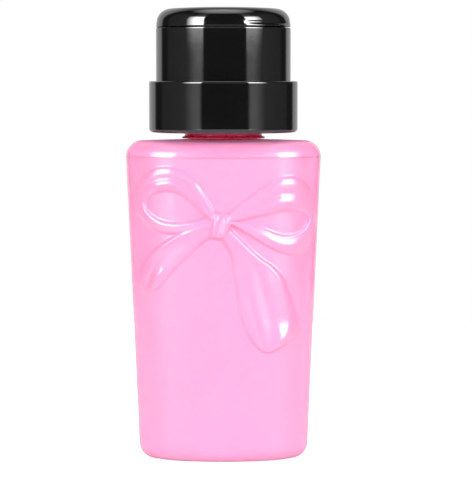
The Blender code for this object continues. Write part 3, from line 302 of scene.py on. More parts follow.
# Finishes
COAT_ROUGHNESS = 0.07
SUBSURFACE_RADIUS = (1.0, 0.3, 0.5)
SUBSURFACE_SCALE = 0.002
CLOUD_SIZE = 12             # grains across a cloud of colour
POLISH_SIZE = 4             # grains across an unevenness of the polish
GRAIN_DEPTH = 0.00005
NOISE_DETAIL = 4.0
NOISE_ROUGHNESS = 0.55
NOISE_RANGE = (0.3, 0.7)    # where most of a noise's values lie
DECK_GLOSS = [(0.80, 1), (0.97, 0)]     # by how level a surface lies
FULL_SPECULAR = 0.5         # the specular level of the surfaces that stay glossy


def make_camera():
    """The camera at the photograph's viewing angle, with its top up."""
    data = bpy.data.cameras.new("photo_camera")
    data.sensor_fit = "HORIZONTAL"
    data.sensor_width = SENSOR_WIDTH
    data.lens = FOCAL_LENGTH
    camera = bpy.data.objects.new("photo_camera", data)
    bpy.context.scene.collection.objects.link(camera)
    camera.location = CAMERA_PLACE
    camera.rotation_euler = (CAMERA_TARGET - CAMERA_PLACE).to_track_quat("-Z", "Y").to_euler()
    bpy.context.scene.camera = camera
    return camera


def body_section(z, inset):
    """Half width, half depth, face radius and corner radius of the bottle at a height."""
    share = z / BODY_HEIGHT
    half_width = (BASE_WIDTH + (SHOULDER_WIDTH - BASE_WIDTH) * share) / 2 - inset
    half_depth = (BASE_DEPTH + (SHOULDER_DEPTH - BASE_DEPTH) * share) / 2 - inset
    face = BASE_FACE_RADIUS + (SHOULDER_FACE_RADIUS - BASE_FACE_RADIUS) * share - inset
    return half_width, half_depth, face, max(BODY_CORNER - inset, CORNER_LEAST)


def arc(centre, radius, start, end, steps):
    """Points of an arc, with both ends. Angles are in degrees."""
    points = []
    for step in range(steps + 1):
        angle = math.radians(start + (end - start) * step / steps)
        points.append((centre[0] + radius * math.cos(angle), centre[1] + radius * math.sin(angle)))
    return points


def fullness(x, reach):
    """How far a face stands out past its arc: most at three quarters of its half width."""
    share = np.clip(np.abs(x) / reach, 0, 1)
    return FACE_FULLNESS * share ** 2 * (1 - share ** FULLNESS_FALL) ** 2


def section_outline(z, inset):
    """Outline of the bottle at a height: bulging front and back joined by round corners."""
    half_width, half_depth, face, corner = body_section(z, inset)
    corner_x = half_width - corner
    turn = math.asin(corner_x / (face - corner))
    face_y = half_depth - face
    corner_y = face_y + (face - corner) * math.cos(turn)
    reach = math.degrees(turn)
    ring = arc((0, -face_y), face, -90 - reach, -90 + reach, FRONT_COLUMNS)[:-1]
    ring += arc((corner_x, -corner_y), corner, -90 + reach, 0, CORNER_COLUMNS)
    ring += arc((corner_x, corner_y), corner, 0, 90 - reach, CORNER_COLUMNS)[:-1]
    ring += arc((0, face_y), face, 90 - reach, 90 + reach, BACK_COLUMNS)[:-1]
    ring += arc((-corner_x, corner_y), corner, 90 + reach, 180, CORNER_COLUMNS)
    ring += arc((-corner_x, -corner_y), corner, 180, 270 - reach, CORNER_COLUMNS)[:-1]
    ring = np.array(ring)
    ring[:, 1] += np.sign(ring[:, 1]) * fullness(ring[:, 0], face * math.sin(turn))
    return ring


def front_y(x, z):
    """Y of the bottle's front, without the bow, at a place."""
    half_width, half_depth, face, corner = body_section(z, 0)
    corner_x = half_width - corner
    turn = math.asin(corner_x / (face - corner))
    reach = face * math.sin(turn)
    if abs(x) <= reach:
        return -(half_depth - face + math.sqrt(face ** 2 - x ** 2) + fullness(x, reach))
    corner_y = half_depth - face + (face - corner) * math.cos(turn)
    past = min(abs(x) - corner_x, corner)
    return -(corner_y + math.sqrt(corner ** 2 - past ** 2))


def front_place(pixel, turn):
    """Where the bottle's front shows at a pixel of the photograph: x and z."""
    focal = FOCAL_LENGTH / SENSOR_WIDTH * FRAME_WIDTH
    ray = turn @ Vector((pixel[0] - FRAME_WIDTH / 2, FRAME_HEIGHT / 2 - pixel[1], -focal))
    depth = -SHOULDER_DEPTH / 2
    for _ in range(PLACING_ROUNDS):
        place = CAMERA_PLACE + ray * ((depth - CAMERA_PLACE.y) / ray.y)
        depth = front_y(place.x, place.z)
    return place.x, place.z


def smooth_curve(points, count):
    """Points along a smooth curve through the given points."""
    points = np.array(points, dtype=float)
    points = points.reshape(len(points), -1)
    padded = np.vstack([2 * points[0] - points[1], points, 2 * points[-1] - points[-2]])
    places = np.linspace(0, len(points) - 1, count)
    index = np.minimum(places.astype(int), len(points) - 2)
    share = (places - index)[:, None]
    before, start, end, after = (padded[index + step] for step in range(4))
    return 0.5 * (2 * start + (end - before) * share
                  + (2 * before - 5 * start + 4 * end - after) * share ** 2
                  + (3 * start - before - 3 * end + after) * share ** 3)


def eased(share):
    """A smooth step from 0 to 1."""
    share = np.clip(share, 0, 1)
    return share * share * (3 - 2 * share)


def rounded_up(share):
    """A quarter of a circle from 0 to 1: steep at its foot and level at its top."""
    share = np.clip(share, 0, 1)
    return np.sqrt(share * (2 - share))


def bevelled_up(share):
    """A rise from 0 to 1 that keeps an even slope for longer than a quarter of a circle."""
    return 1 - (1 - np.clip(share, 0, 1)) ** BEVEL_POWER


def ribbon_heights(ribbon, along, across):
    """Height of a ribbon over its own plane, from its crown, its sides and its folds."""
    first, second, crown = (smooth_curve(ribbon[name], len(along))
                            for name in ("first", "second", "crown"))
    height = crown * np.ones_like(across)
    for across_start, along_start, across_end, along_end, width, rise, fade in ribbon["folds"]:
        share = np.clip((along - along_start) / (along_end - along_start), 0, 1)
        middle = across_start + (across_end - across_start) * share
        fold = rise * np.exp(-((across - middle) / width) ** 2)
        if along_start > 0:
            fold = fold * eased((along - along_start) / fade)
        if along_end < 1:
            fold = fold * eased((along_end - along) / fade)
        height = height + fold
    for name, share in (("first_bevel", across / first), ("second_bevel", (1 - across) / second)):
        bevel = smooth_curve(ribbon.get(name, (0, 0)), len(along))
        height = height * (rounded_up(share) * (1 - bevel) + bevelled_up(share) * bevel)
    start, end = ribbon["ends"]
    if start:
        height = height * rounded_up(along / start)
    if end:
        height = height * rounded_up((1 - along) / end)
    return height


def blurred(grid, cells):
    """The height map softened by a bell curve, whose width is given in cells."""
    reach = int(BLUR_REACH * cells) + 1
    offsets = range(-reach, reach + 1)
    weights = [math.exp(-0.5 * (offset / cells) ** 2) for offset in offsets]
    for axis in (0, 1):
        total = np.zeros_like(grid)
        for offset, weight in zip(offsets, weights):
            total += weight * np.roll(grid, offset, axis)
        grid = total / sum(weights)
    return grid


def bow_map(turn):
    """Heights of the bow over the front, on a square grid centred on the knot."""
    half = int(BOW_REACH / BOW_CELL)
    grid = np.zeros((2 * half + 1, 2 * half + 1))
    along = np.linspace(0, 1, RIBBON_SAMPLES[0])[:, None]
    across = np.linspace(0, 1, RIBBON_SAMPLES[1])[None, :]
    for ribbon in RIBBONS:
        lines = []
        for edge in ribbon["edges"]:
            places = [front_place(pixel, turn) for pixel in edge]
            lines.append(smooth_curve(places, RIBBON_SAMPLES[0])[:, None, :])
        places = lines[0] + (lines[1] - lines[0]) * across[:, :, None]
        cells = np.rint((places - np.array(BOW_KNOT)) / BOW_CELL).astype(int) + half
        height = ribbon_heights(ribbon, along, across)
        np.maximum.at(grid, (cells[..., 0], cells[..., 1]), height)
    return blurred(grid, BOW_BLUR / BOW_CELL)


def map_heights(grid, x, z):
    """Heights of the map at arrays of places on the front."""
    half = (len(grid) - 1) // 2
    last = len(grid) - 1.001    # just inside the last cell
    across = np.clip((x - BOW_KNOT[0]) / BOW_CELL + half, 0, last)
    up = np.clip((z - BOW_KNOT[1]) / BOW_CELL + half, 0, last)
    column = across.astype(int)
    row = up.astype(int)
    right = across - column
    top = up - row
    return ((1 - right) * (1 - top) * grid[column, row] + right * (1 - top) * grid[column + 1, row]
            + (1 - right) * top * grid[column, row + 1] + right * top * grid[column + 1, row + 1])


def body_rows(turn):
    """Heights of the rings between the foot and the shoulder, close together under the bow."""
    low = FOOT_ROUND
    high = BODY_HEIGHT - SHOULDER_CROWN - SHOULDER_ROUND
    middle = FRAME_WIDTH / 2
    bow_low = front_place((middle, BOW_LOW_PIXEL), turn)[1]
    bow_high = front_place((middle, BOW_HIGH_PIXEL), turn)[1]
    rows = list(np.linspace(low, bow_low, ROWS_BELOW_BOW)[:-1])
    rows += list(np.linspace(bow_low, bow_high, round((bow_high - bow_low) / ROW_HEIGHT))[:-1])
    return rows + list(np.linspace(bow_high, high, ROWS_ABOVE_BOW))


def ring_points(z, inset, relief=None):
    """One ring of the bottle's skin as an array of points."""
    outline = section_outline(z, inset)
    x = outline[:, 0]
    y = outline[:, 1]
    if relief is not None:
        y = np.where(y < 0, y - map_heights(relief, x, np.full_like(x, z)), y)
    return np.column_stack([x, y, np.full_like(x, z)])


def neck_ring(radius, z):
    """A ring of the neck, with its points in the same directions as the body's."""
    outline = section_outline(BODY_HEIGHT, 0)
    angle = np.arctan2(outline[:, 1], outline[:, 0])
    return np.column_stack([radius * np.cos(angle), radius * np.sin(angle), np.full_like(angle, z)])


def bottle_rings(turn):
    """Rings from the hollow under the base, over the skin to the neck and down the inside."""
    foot_inset = FOOT_ROUND + FOOT_BAND
    shoulder = BODY_HEIGHT - SHOULDER_CROWN
    neck_top = BODY_HEIGHT + NECK_HEIGHT
    relief = bow_map(turn)
    rings = [
        ring_points(PUSH_UP, foot_inset + PUSH_UP_SLOPE + FOOT_BAND),
        ring_points(PUSH_UP, foot_inset + PUSH_UP_SLOPE),
        ring_points(PUSH_UP / 2, foot_inset + PUSH_UP_SLOPE / 3),
        ring_points(0, foot_inset), ring_points(0, FOOT_ROUND)]
    for x, z in arc((FOOT_ROUND, FOOT_ROUND), FOOT_ROUND, 270, 180, FOOT_STEPS)[1:-1]:
        rings.append(ring_points(z, x))
    rings += [ring_points(z, 0, relief) for z in body_rows(turn)]
    shoulder_centre = (SHOULDER_ROUND, shoulder - SHOULDER_ROUND)
    for x, z in arc(shoulder_centre, SHOULDER_ROUND, 180, 90, SHOULDER_STEPS)[1:]:
        rings.append(ring_points(z, x))
    neck = [
        (NECK_RADIUS + SHOULDER_CROWN, BODY_HEIGHT), (NECK_RADIUS, BODY_HEIGHT + SHOULDER_CROWN),
        (NECK_RADIUS, neck_top - NECK_RIM_ROUND), (NECK_RADIUS - NECK_RIM_ROUND, neck_top),
        (NECK_BORE_RADIUS + NECK_RIM_ROUND, neck_top),
        (NECK_BORE_RADIUS, neck_top - NECK_RIM_ROUND),
        (NECK_BORE_RADIUS, BODY_HEIGHT - BOTTLE_WALL)]
    rings += [neck_ring(radius, z) for radius, z in neck]
    inner_round = SHOULDER_ROUND - BOTTLE_WALL
    inner_centre = (SHOULDER_ROUND, shoulder - BOTTLE_WALL - inner_round)
    for x, z in arc(inner_centre, inner_round, 90, 180, INSIDE_STEPS):
        rings.append(ring_points(z, x))
    inner_foot = FOOT_ROUND - BOTTLE_WALL
    for x, z in arc((FOOT_ROUND, BOTTLE_WALL + inner_foot), inner_foot, 180, 270, INSIDE_STEPS):
        rings.append(ring_points(z, x))
    rings.append(ring_points(BOTTLE_WALL, foot_inset))
    rings.append(ring_points(PUSH_UP + BOTTLE_WALL, foot_inset + PUSH_UP_SLOPE))
    return rings


def grid_mesh(name, rings):
    """A closed mesh through rings of equally many points, with a cap on each end."""
    columns = len(rings[0])
    faces = []
    for row in range(len(rings) - 1):
        start = row * columns
        for column in range(columns):
            following = (column + 1) % columns
            faces.append((start + column, start + following, start + columns + following,
                          start + columns + column))
    faces.append(tuple(range(columns - 1, -1, -1)))
    faces.append(tuple(range((len(rings) - 1) * columns, len(rings) * columns)))
    mesh = bpy.data.meshes.new(name)
    mesh.from_pydata(np.vstack(rings).tolist(), [], faces)
    mesh.validate()
    return mesh


def add_piece(name, mesh, material, body, slot, *nodes):
    """Put a piece in the scene, on its body, in place of its solids."""
    item = bpy.data.objects.new(name, mesh)
    bpy.context.scene.collection.objects.link(item)
    mesh.materials.append(material)
    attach(item, body)
    if nodes:
        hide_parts(*nodes)
    return item


def smooth(mesh, degrees=SHARP_ANGLE):
    """Shade a mesh smooth, apart from its sharp edges."""
    mesh.shade_smooth()
    mesh.set_sharp_from_angle(angle=math.radians(degrees))


def node_of(tree, kind, **values):
    """A new node with some of its settings."""
    node = tree.nodes.new(kind)
    for name, value in values.items():
        setattr(node, name, value)
    return node


def math_node(tree, operation, first, second=None):
    """A maths node on sockets or numbers, as its output."""
    node = node_of(tree, "ShaderNodeMath", operation=operation)
    for index, value in enumerate((first, second)):
        if isinstance(value, (int, float)):
            node.inputs[index].default_value = value
        elif value is not None:
            tree.links.new(value, node.inputs[index])
    return node.outputs[0]


def scaled(tree, first, second, strength):
    """The product of two outputs and a strength."""
    return math_node(tree, "MULTIPLY", math_node(tree, "MULTIPLY", first, second), strength)


def ramp(tree, factor, stops):
    """Values between 0 and 1 along a factor, as an output."""
    node = tree.nodes.new("ShaderNodeValToRGB")
    elements = node.color_ramp.elements
    while len(elements) < len(stops):
        elements.new(0.5)
    for element, (place, value) in zip(elements, stops):
        element.position = place
        element.color = (value, value, value, 1)
    tree.links.new(factor, node.inputs[0])
    return node.outputs[0]


def noise(tree, scale):
    """Noise in the object's own space, as an output."""
    place = tree.nodes.new("ShaderNodeTexCoord")
    texture = tree.nodes.new("ShaderNodeTexNoise")
    texture.inputs["Scale"].default_value = scale
    texture.inputs["Detail"].default_value = NOISE_DETAIL
    texture.inputs["Roughness"].default_value = NOISE_ROUGHNESS
    tree.links.new(place.outputs["Object"], texture.inputs["Vector"])
    return texture.outputs["Fac"]


def mixed_colour(tree, factor, first, second):
    """A colour between two, as an output."""
    node = node_of(tree, "ShaderNodeMix", data_type="RGBA")
    node.inputs["A"].default_value = (*first, 1)
    node.inputs["B"].default_value = (*second, 1)
    tree.links.new(factor, node.inputs["Factor"])
    return node.outputs["Result"]


def spread(tree, factor, low, high):
    """A factor's middle range mapped to a range of values, as an output."""
    node = tree.nodes.new("ShaderNodeMapRange")
    node.inputs["From Min"].default_value = NOISE_RANGE[0]
    node.inputs["From Max"].default_value = NOISE_RANGE[1]
    node.inputs["To Min"].default_value = low
    node.inputs["To Max"].default_value = high
    tree.links.new(factor, node.inputs["Value"])
    return node.outputs["Result"]


def surface(name, colour, shade, roughness, grain, bump, metallic=0.0, coat=0.0, ior=1.5,
            subsurface=0.0):
    """A material of two close colours, with an uneven polish and a fine grain."""
    material = bpy.data.materials.new(name)
    material.use_nodes = True
    tree = material.node_tree
    shader = tree.nodes["Principled BSDF"]
    shader.inputs["Metallic"].default_value = metallic
    shader.inputs["IOR"].default_value = ior
    if coat:
        shader.inputs["Coat Weight"].default_value = coat
        shader.inputs["Coat Roughness"].default_value = COAT_ROUGHNESS
    if subsurface:
        shader.inputs["Subsurface Weight"].default_value = subsurface
        shader.inputs["Subsurface Radius"].default_value = SUBSURFACE_RADIUS
        shader.inputs["Subsurface Scale"].default_value = SUBSURFACE_SCALE
    cloud = noise(tree, grain / CLOUD_SIZE)
    tree.links.new(mixed_colour(tree, cloud, colour, shade), shader.inputs["Base Color"])
    polish = noise(tree, grain / POLISH_SIZE)
    tree.links.new(spread(tree, polish, *roughness), shader.inputs["Roughness"])
    relief = tree.nodes.new("ShaderNodeBump")
    relief.inputs["Strength"].default_value = bump
    relief.inputs["Distance"].default_value = GRAIN_DEPTH
    tree.links.new(noise(tree, grain), relief.inputs["Height"])
    tree.links.new(relief.outputs["Normal"], shader.inputs["Normal"])
    return material


def lathe_mesh(name, profile, sides, reshape=None):
    """A turned mesh from a profile of (radius, height), closed unless it ends on the axis."""
    shape = bmesh.new()
    loops = []
    for radius, z in profile:
        if radius == 0:
            loops.append([shape.verts.new((0, 0, z))])
            continue
        loop = []
        for side in range(sides):
            angle = 2 * math.pi * side / sides
            reach = reshape(radius, angle, z) if reshape else radius
            loop.append(shape.verts.new((reach * math.cos(angle), reach * math.sin(angle), z)))
        loops.append(loop)
    following_loops = loops[1:] if len(loops[0]) == 1 else loops[1:] + loops[:1]
    for lower, upper in zip(loops, following_loops):
        for side in range(sides):
            following = (side + 1) % sides
            corners = [lower[side % len(lower)], lower[following % len(lower)],
                       upper[following % len(upper)], upper[side % len(upper)]]
            corners = list(dict.fromkeys(corners))
            if len(corners) > 2:
                shape.faces.new(corners)
    bmesh.ops.recalc_face_normals(shape, faces=shape.faces)
    mesh = bpy.data.meshes.new(name)
    shape.to_mesh(mesh)
    shape.free()
    smooth(mesh)
    return mesh


def rounded(profile, radius):
    """The closed profile with each of its sharp corners rounded."""
    points = [Vector(point) for point in profile]
    result = []
    for index, corner in enumerate(points):
        before = points[index - 1] - corner
        after = points[(index + 1) % len(points)] - corner
        if corner.x == 0 or before.length == 0 or after.length == 0:
            result.append(tuple(corner))
            continue
        if math.pi - before.angle(after) < CORNER_ANGLE:
            result.append(tuple(corner))
            continue
        reach = min(radius, CORNER_SHARE * before.length, CORNER_SHARE * after.length)
        first = corner + before.normalized() * reach
        last = corner + after.normalized() * reach
        for step in range(CORNER_STEPS + 1):
            share = step / CORNER_STEPS
            result.append(tuple(first * (1 - share) ** 2 + corner * 2 * share * (1 - share)
                                + last * share ** 2))
    return result


def supported(profile, reach):
    """The closed profile with a point near each end of its long straight stretches."""
    result = []
    for first, last in zip(profile, profile[1:] + profile[:1]):
        start = Vector(first)
        run = Vector(last) - start
        result.append(first)
        if run.length > LONG_SIDE * reach:
            step = run.normalized() * reach
            result.append(tuple(start + step))
            result.append(tuple(start + run - step))
    return result


def turned_mesh(name, profile):
    """A turned mesh with its sharp corners rounded and its flat faces kept flat."""
    return lathe_mesh(name, supported(rounded(profile, EDGE_ROUND), EDGE_ROUND), SIDES)


def make_world():
    """A studio that shows white to the camera and lights by direction: a soft box on each side,
    a glow round them and behind, a top light, faint bands in front and a low streak under each
    box."""
    world = bpy.data.worlds.new("studio")
    bpy.context.scene.world = world
    world.use_nodes = True
    tree = world.node_tree
    tree.nodes.clear()
    direction = node_of(tree, "ShaderNodeSeparateXYZ")
    tree.links.new(tree.nodes.new("ShaderNodeTexCoord").outputs["Generated"], direction.inputs[0])
    x, y, z = direction.outputs
    azimuth = math_node(tree, "ARCTAN2", x, math_node(tree, "MULTIPLY", y, -1.0))
    turned = math_node(tree, "SUBTRACT", azimuth, STUDIO_TURN)
    aside = math_node(tree, "DIVIDE", math_node(tree, "ABSOLUTE", turned), math.pi)
    height = math_node(tree, "DIVIDE", math_node(tree, "ARCSINE", z), math.pi)
    height = math_node(tree, "ADD", height, 0.5)
    light = scaled(tree, ramp(tree, aside, BOX_ASIDE), ramp(tree, height, BOX_HEIGHT), BOX_STRENGTH)
    glow = scaled(tree, ramp(tree, aside, GLOW_ASIDE), ramp(tree, height, GLOW_HEIGHT),
                  GLOW_STRENGTH)
    light = math_node(tree, "MAXIMUM", light, glow)
    top = math_node(tree, "MULTIPLY", ramp(tree, height, TOP_HEIGHT), TOP_STRENGTH)
    light = math_node(tree, "ADD", light, top)
    for across, up, strength in ((FRONT_ASIDE, FRONT_HEIGHT, FRONT_STRENGTH),
                                 (STREAK_ASIDE, STREAK_HEIGHT, STREAK_STRENGTH)):
        added = scaled(tree, ramp(tree, aside, across), ramp(tree, height, up), strength)
        light = math_node(tree, "ADD", light, added)
    path = tree.nodes.new("ShaderNodeLightPath")
    seen = math_node(tree, "MAXIMUM", path.outputs["Is Camera Ray"],
                     path.outputs["Is Transmission Ray"])
    mix = node_of(tree, "ShaderNodeMix", data_type="FLOAT")
    tree.links.new(seen, mix.inputs["Factor"])
    tree.links.new(light, mix.inputs["A"])
    mix.inputs["B"].default_value = 1.0
    background = tree.nodes.new("ShaderNodeBackground")
    background.inputs["Color"].default_value = (1, 1, 1, 1)
    tree.links.new(mix.outputs["Result"], background.inputs["Strength"])
    output = tree.nodes.new("ShaderNodeOutputWorld")
    tree.links.new(background.outputs[0], output.inputs["Surface"])


def make_floor():
    """A pale floor that keeps the object's shadow and shows white to the camera."""
    bpy.ops.mesh.primitive_circle_add(vertices=FLOOR_SIDES, radius=FLOOR_RADIUS,
                                      fill_type="NGON")
    floor = bpy.context.object
    floor.name = "floor"
    material = bpy.data.materials.new("pale floor")
    material.use_nodes = True
    tree = material.node_tree
    shader = tree.nodes["Principled BSDF"]
    shader.inputs["Roughness"].default_value = FLOOR_ROUGHNESS
    shader.inputs["Specular IOR Level"].default_value = FLOOR_SPECULAR
    shader.inputs["Base Color"].default_value = FLOOR_COLOUR
    shader.inputs["Emission Color"].default_value = (1, 1, 1, 1)
    path = tree.nodes.new("ShaderNodeLightPath")
    glow = math_node(tree, "MULTIPLY", path.outputs["Is Camera Ray"], FLOOR_GLOW)
    tree.links.new(glow, shader.inputs["Emission Strength"])
    floor.data.materials.append(material)


def dull_deck(material):
    """Make a surface duller where it lies level, as the deck under the collar is."""
    tree = material.node_tree
    shader = tree.nodes["Principled BSDF"]
    geometry = tree.nodes.new("ShaderNodeNewGeometry")
    parts = tree.nodes.new("ShaderNodeSeparateXYZ")
    tree.links.new(geometry.outputs["Normal"], parts.inputs[0])
    gloss = ramp(tree, parts.outputs["Z"], DECK_GLOSS)
    tree.links.new(gloss, shader.inputs["Coat Weight"])
    specular = math_node(tree, "MULTIPLY", gloss, FULL_SPECULAR)
    tree.links.new(specular, shader.inputs["Specular IOR Level"])


# Materials. The two colours of each lie close together.
pink = surface("pink plastic", (0.95, 0.300, 0.522), (0.96, 0.315, 0.537),
               roughness=(0.30, 0.38), grain=900, bump=0.05, coat=1.0, subsurface=0.6)
dull_deck(pink)
gloss_black = surface("gloss black", (0.0020, 0.0020, 0.0022), (0.0040, 0.0040, 0.0040),
                      roughness=(0.03, 0.06), grain=500, bump=0.03, ior=1.8)
crimson = surface("crimson plastic", (0.95, 0.035, 0.12), (0.97, 0.045, 0.14),
                  roughness=(0.24, 0.34), grain=900, bump=0.08)
milky = surface("milky plastic", (0.80, 0.81, 0.80), (0.86, 0.86, 0.85),
                roughness=(0.34, 0.46), grain=900, bump=0.10)
soft_white = surface("soft white plastic", (0.84, 0.84, 0.82), (0.89, 0.89, 0.87),
                     roughness=(0.48, 0.60), grain=900, bump=0.12)
dish_white = surface("dish white", (0.86, 0.86, 0.85), (0.90, 0.90, 0.89),
                     roughness=(0.22, 0.32), grain=800, bump=0.06)
tube_plastic = surface("tube plastic", (0.78, 0.80, 0.81), (0.84, 0.85, 0.86),
                       roughness=(0.22, 0.34), grain=900, bump=0.06)
foam = surface("foam washer", (0.86, 0.85, 0.81), (0.91, 0.90, 0.86),
               roughness=(0.72, 0.88), grain=3000, bump=0.6)
rubber = surface("dark rubber", (0.022, 0.022, 0.022), (0.034, 0.034, 0.034),
                 roughness=(0.6, 0.75), grain=1500, bump=0.3)
steel = surface("drawn steel", (0.58, 0.59, 0.60), (0.64, 0.64, 0.65),
                roughness=(0.18, 0.30), grain=2500, bump=0.08, metallic=1.0)
ball_glass = surface("valve ball", (0.72, 0.79, 0.81), (0.78, 0.84, 0.86),
                     roughness=(0.05, 0.10), grain=1200, bump=0.03)


def make_bottle(turn):
    """The bottle with its moulded bow."""
    mesh = grid_mesh("moulded_bottle", bottle_rings(turn))
    smooth(mesh, BOTTLE_SHARP_ANGLE)
    add_piece("moulded_bottle", mesh, pink, "bottle", "bottle", "bottle")


def make_collar():
    """The black collar round the head."""
    low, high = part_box("collar_ring")
    radius = high.x
    height = high.z - low.z
    hub_bore = CLOSURE_RADIUS + GAP
    bore = radius - COLLAR_WALL
    rim = (radius - COLLAR_RIM_ROUND, height - COLLAR_RIM_ROUND)
    foot = (radius - COLLAR_FOOT_ROUND, COLLAR_FOOT_ROUND)
    profile = arc(rim, COLLAR_RIM_ROUND, 90, 0, COLLAR_RIM_STEPS)
    profile += arc(foot, COLLAR_FOOT_ROUND, 0, -90, COLLAR_FOOT_STEPS)
    profile += [(hub_bore, 0), (hub_bore, HUB_HEIGHT), (hub_bore + HUB_WALL, HUB_HEIGHT),
                (hub_bore + HUB_WALL, COLLAR_FLOOR), (bore, COLLAR_FLOOR), (bore, height)]
    mesh = turned_mesh("collar", [(reach, z + low.z) for reach, z in profile])
    add_piece("collar", mesh, gloss_black, "closure", "closure", "collar_ring")


def seam_height():
    """Height of the seam under the lid, which is the height of the hinge's axis."""
    low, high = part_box("hinge_pin")
    return (low.z + high.z) / 2


def make_sleeve():
    """The head's sleeve, with the ledge under the dish."""
    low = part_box("head_sleeve")[0]
    rim_low = seam_height() - GAP / 2
    bore = HEAD_RADIUS - HEAD_WALL
    ledge = bore - LEDGE_WIDTH
    dish_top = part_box("press_dish")[1].z
    ledge_top = dish_top - DISH_RIM_HEIGHT - GAP
    profile = [
        (HEAD_RADIUS, rim_low), (HEAD_RADIUS, low.z), (bore, low.z),
        (bore, ledge_top - LEDGE_THICKNESS), (ledge, ledge_top - LEDGE_THICKNESS),
        (ledge, ledge_top), (bore, ledge_top), (bore, rim_low)]
    mesh = turned_mesh("head_sleeve_shell", profile)
    add_piece("head_sleeve_shell", mesh, gloss_black, "head", "head", "head_sleeve")


def thumb_shape(base):
    """How the lid's side bulges into a lip and hollows above it, by height over its base."""
    def reshape(radius, angle, z):
        turn = (angle - THUMB_AZIMUTH + math.pi) % (2 * math.pi) - math.pi
        share = abs(turn) / THUMB_HALF_ANGLE
        height = z - base
        if share >= 1 or radius < HEAD_RADIUS - THUMB_SKIN:
            return radius
        lip = THUMB_LIP * math.cos(share * math.pi / 2) ** 2
        hollow = THUMB_SCOOP * (1 - share ** THUMB_POWER)
        if height <= THUMB_LIP_HEIGHT:
            lost = THUMB_LIP_DRAW * (height / THUMB_LIP_HEIGHT) ** THUMB_POWER
            return radius + lip * (1 - lost)
        rise = (height - THUMB_LIP_HEIGHT) / THUMB_SCOOP_HEIGHT
        if rise >= 1:
            return radius
        return radius - hollow * math.sin(math.pi * rise) ** 2
    return reshape


def hinge_place(offset):
    """Places a shape of the hinge: its X points out from the lid's axis and its Y points up."""
    outward = Vector((-math.cos(THUMB_AZIMUTH), -math.sin(THUMB_AZIMUTH), 0))
    up = Vector((0, 0, 1))
    along = outward.cross(up)
    radius = HEAD_RADIUS + GAP + KNUCKLE_RADIUS
    turn = Matrix((outward, up, along)).transposed().to_4x4()
    return Matrix.Translation(outward * radius + up * seam_height() + along * offset) @ turn


def make_hinge_part(name, side, length, offset, body):
    """A barrel of the hinge with its web to the wall, above the seam or below it, and its hole."""
    root = GAP + KNUCKLE_RADIUS + HINGE_SINK
    seam = side * GAP / 2
    outline = [(-root, seam), (-root, side * KNUCKLE_RADIUS)]
    outline += arc((0, 0), KNUCKLE_RADIUS, 90 * side, -180 * side, KNUCKLE_STEPS)
    outline += [(-KNUCKLE_RADIUS, seam)]
    hole = arc((0, 0), PIN_RADIUS + PIN_PLAY, 0, 360, PIN_HOLE_SIDES)[:-1]
    shape = bmesh.new()
    edges = []
    for ring in (outline, hole):
        corners = [shape.verts.new((x, y, -length / 2)) for x, y in ring]
        edges += [shape.edges.new(pair) for pair in zip(corners, corners[1:] + corners[:1])]
    bmesh.ops.triangle_fill(shape, use_beauty=True, use_dissolve=False, edges=edges)
    grown = bmesh.ops.extrude_face_region(shape, geom=list(shape.faces))["geom"]
    moved = [item for item in grown if isinstance(item, bmesh.types.BMVert)]
    bmesh.ops.translate(shape, verts=moved, vec=(0, 0, length))
    bmesh.ops.recalc_face_normals(shape, faces=list(shape.faces))
    rims = [edge for edge in shape.edges if edge.calc_face_angle(0) > HINGE_RIM_ANGLE]
    bmesh.ops.bevel(shape, geom=rims, offset=HINGE_BEVEL, segments=2, profile=0.5, affect="EDGES")
    shape.transform(hinge_place(offset))
    mesh = bpy.data.meshes.new(name)
    shape.to_mesh(mesh)
    shape.free()
    smooth(mesh, HINGE_SHARP_ANGLE)
    add_piece(name, mesh, gloss_black, body, "head")


def make_hinge():
    """Two ears on the sleeve, the lid's barrel between them and the pin through all three."""
    reach = (KNUCKLE_LENGTH + EAR_LENGTH) / 2 + GAP
    make_hinge_part("hinge_ear_first", -1, EAR_LENGTH, -reach, "head")
    make_hinge_part("hinge_ear_second", -1, EAR_LENGTH, reach, "head")
    make_hinge_part("hinge_barrel", 1, KNUCKLE_LENGTH, 0, "lid")
    half = KNUCKLE_LENGTH / 2 + EAR_LENGTH + GAP
    profile = [(0, -half), (PIN_RADIUS, -half), (PIN_RADIUS, half), (0, half)]
    mesh = lathe_mesh("hinge_rod", rounded(profile, PIN_ROUND), PIN_SIDES)
    mesh.transform(hinge_place(0))
    add_piece("hinge_rod", mesh, steel, "head", "steel", "hinge_pin")


def make_closure():
    """The crimson screw closure, with a small flare at its foot."""
    low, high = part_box("screw_closure")
    flare = high.x
    stub = STUB_RADIUS + GAP
    profile = [
        (CLOSURE_RADIUS, high.z), (CLOSURE_RADIUS, low.z + CLOSURE_FLARE_HEIGHT),
        (flare, low.z + CLOSURE_FLARE_HEIGHT / 2), (flare, low.z), (CLOSURE_INNER_RADIUS, low.z),
        (CLOSURE_INNER_RADIUS, high.z - CLOSURE_PLATE), (stub, high.z - CLOSURE_PLATE),
        (stub, high.z)]
    mesh = turned_mesh("crimson_closure", profile)
    add_piece("crimson_closure", mesh, crimson, "closure", "closure", "screw_closure")


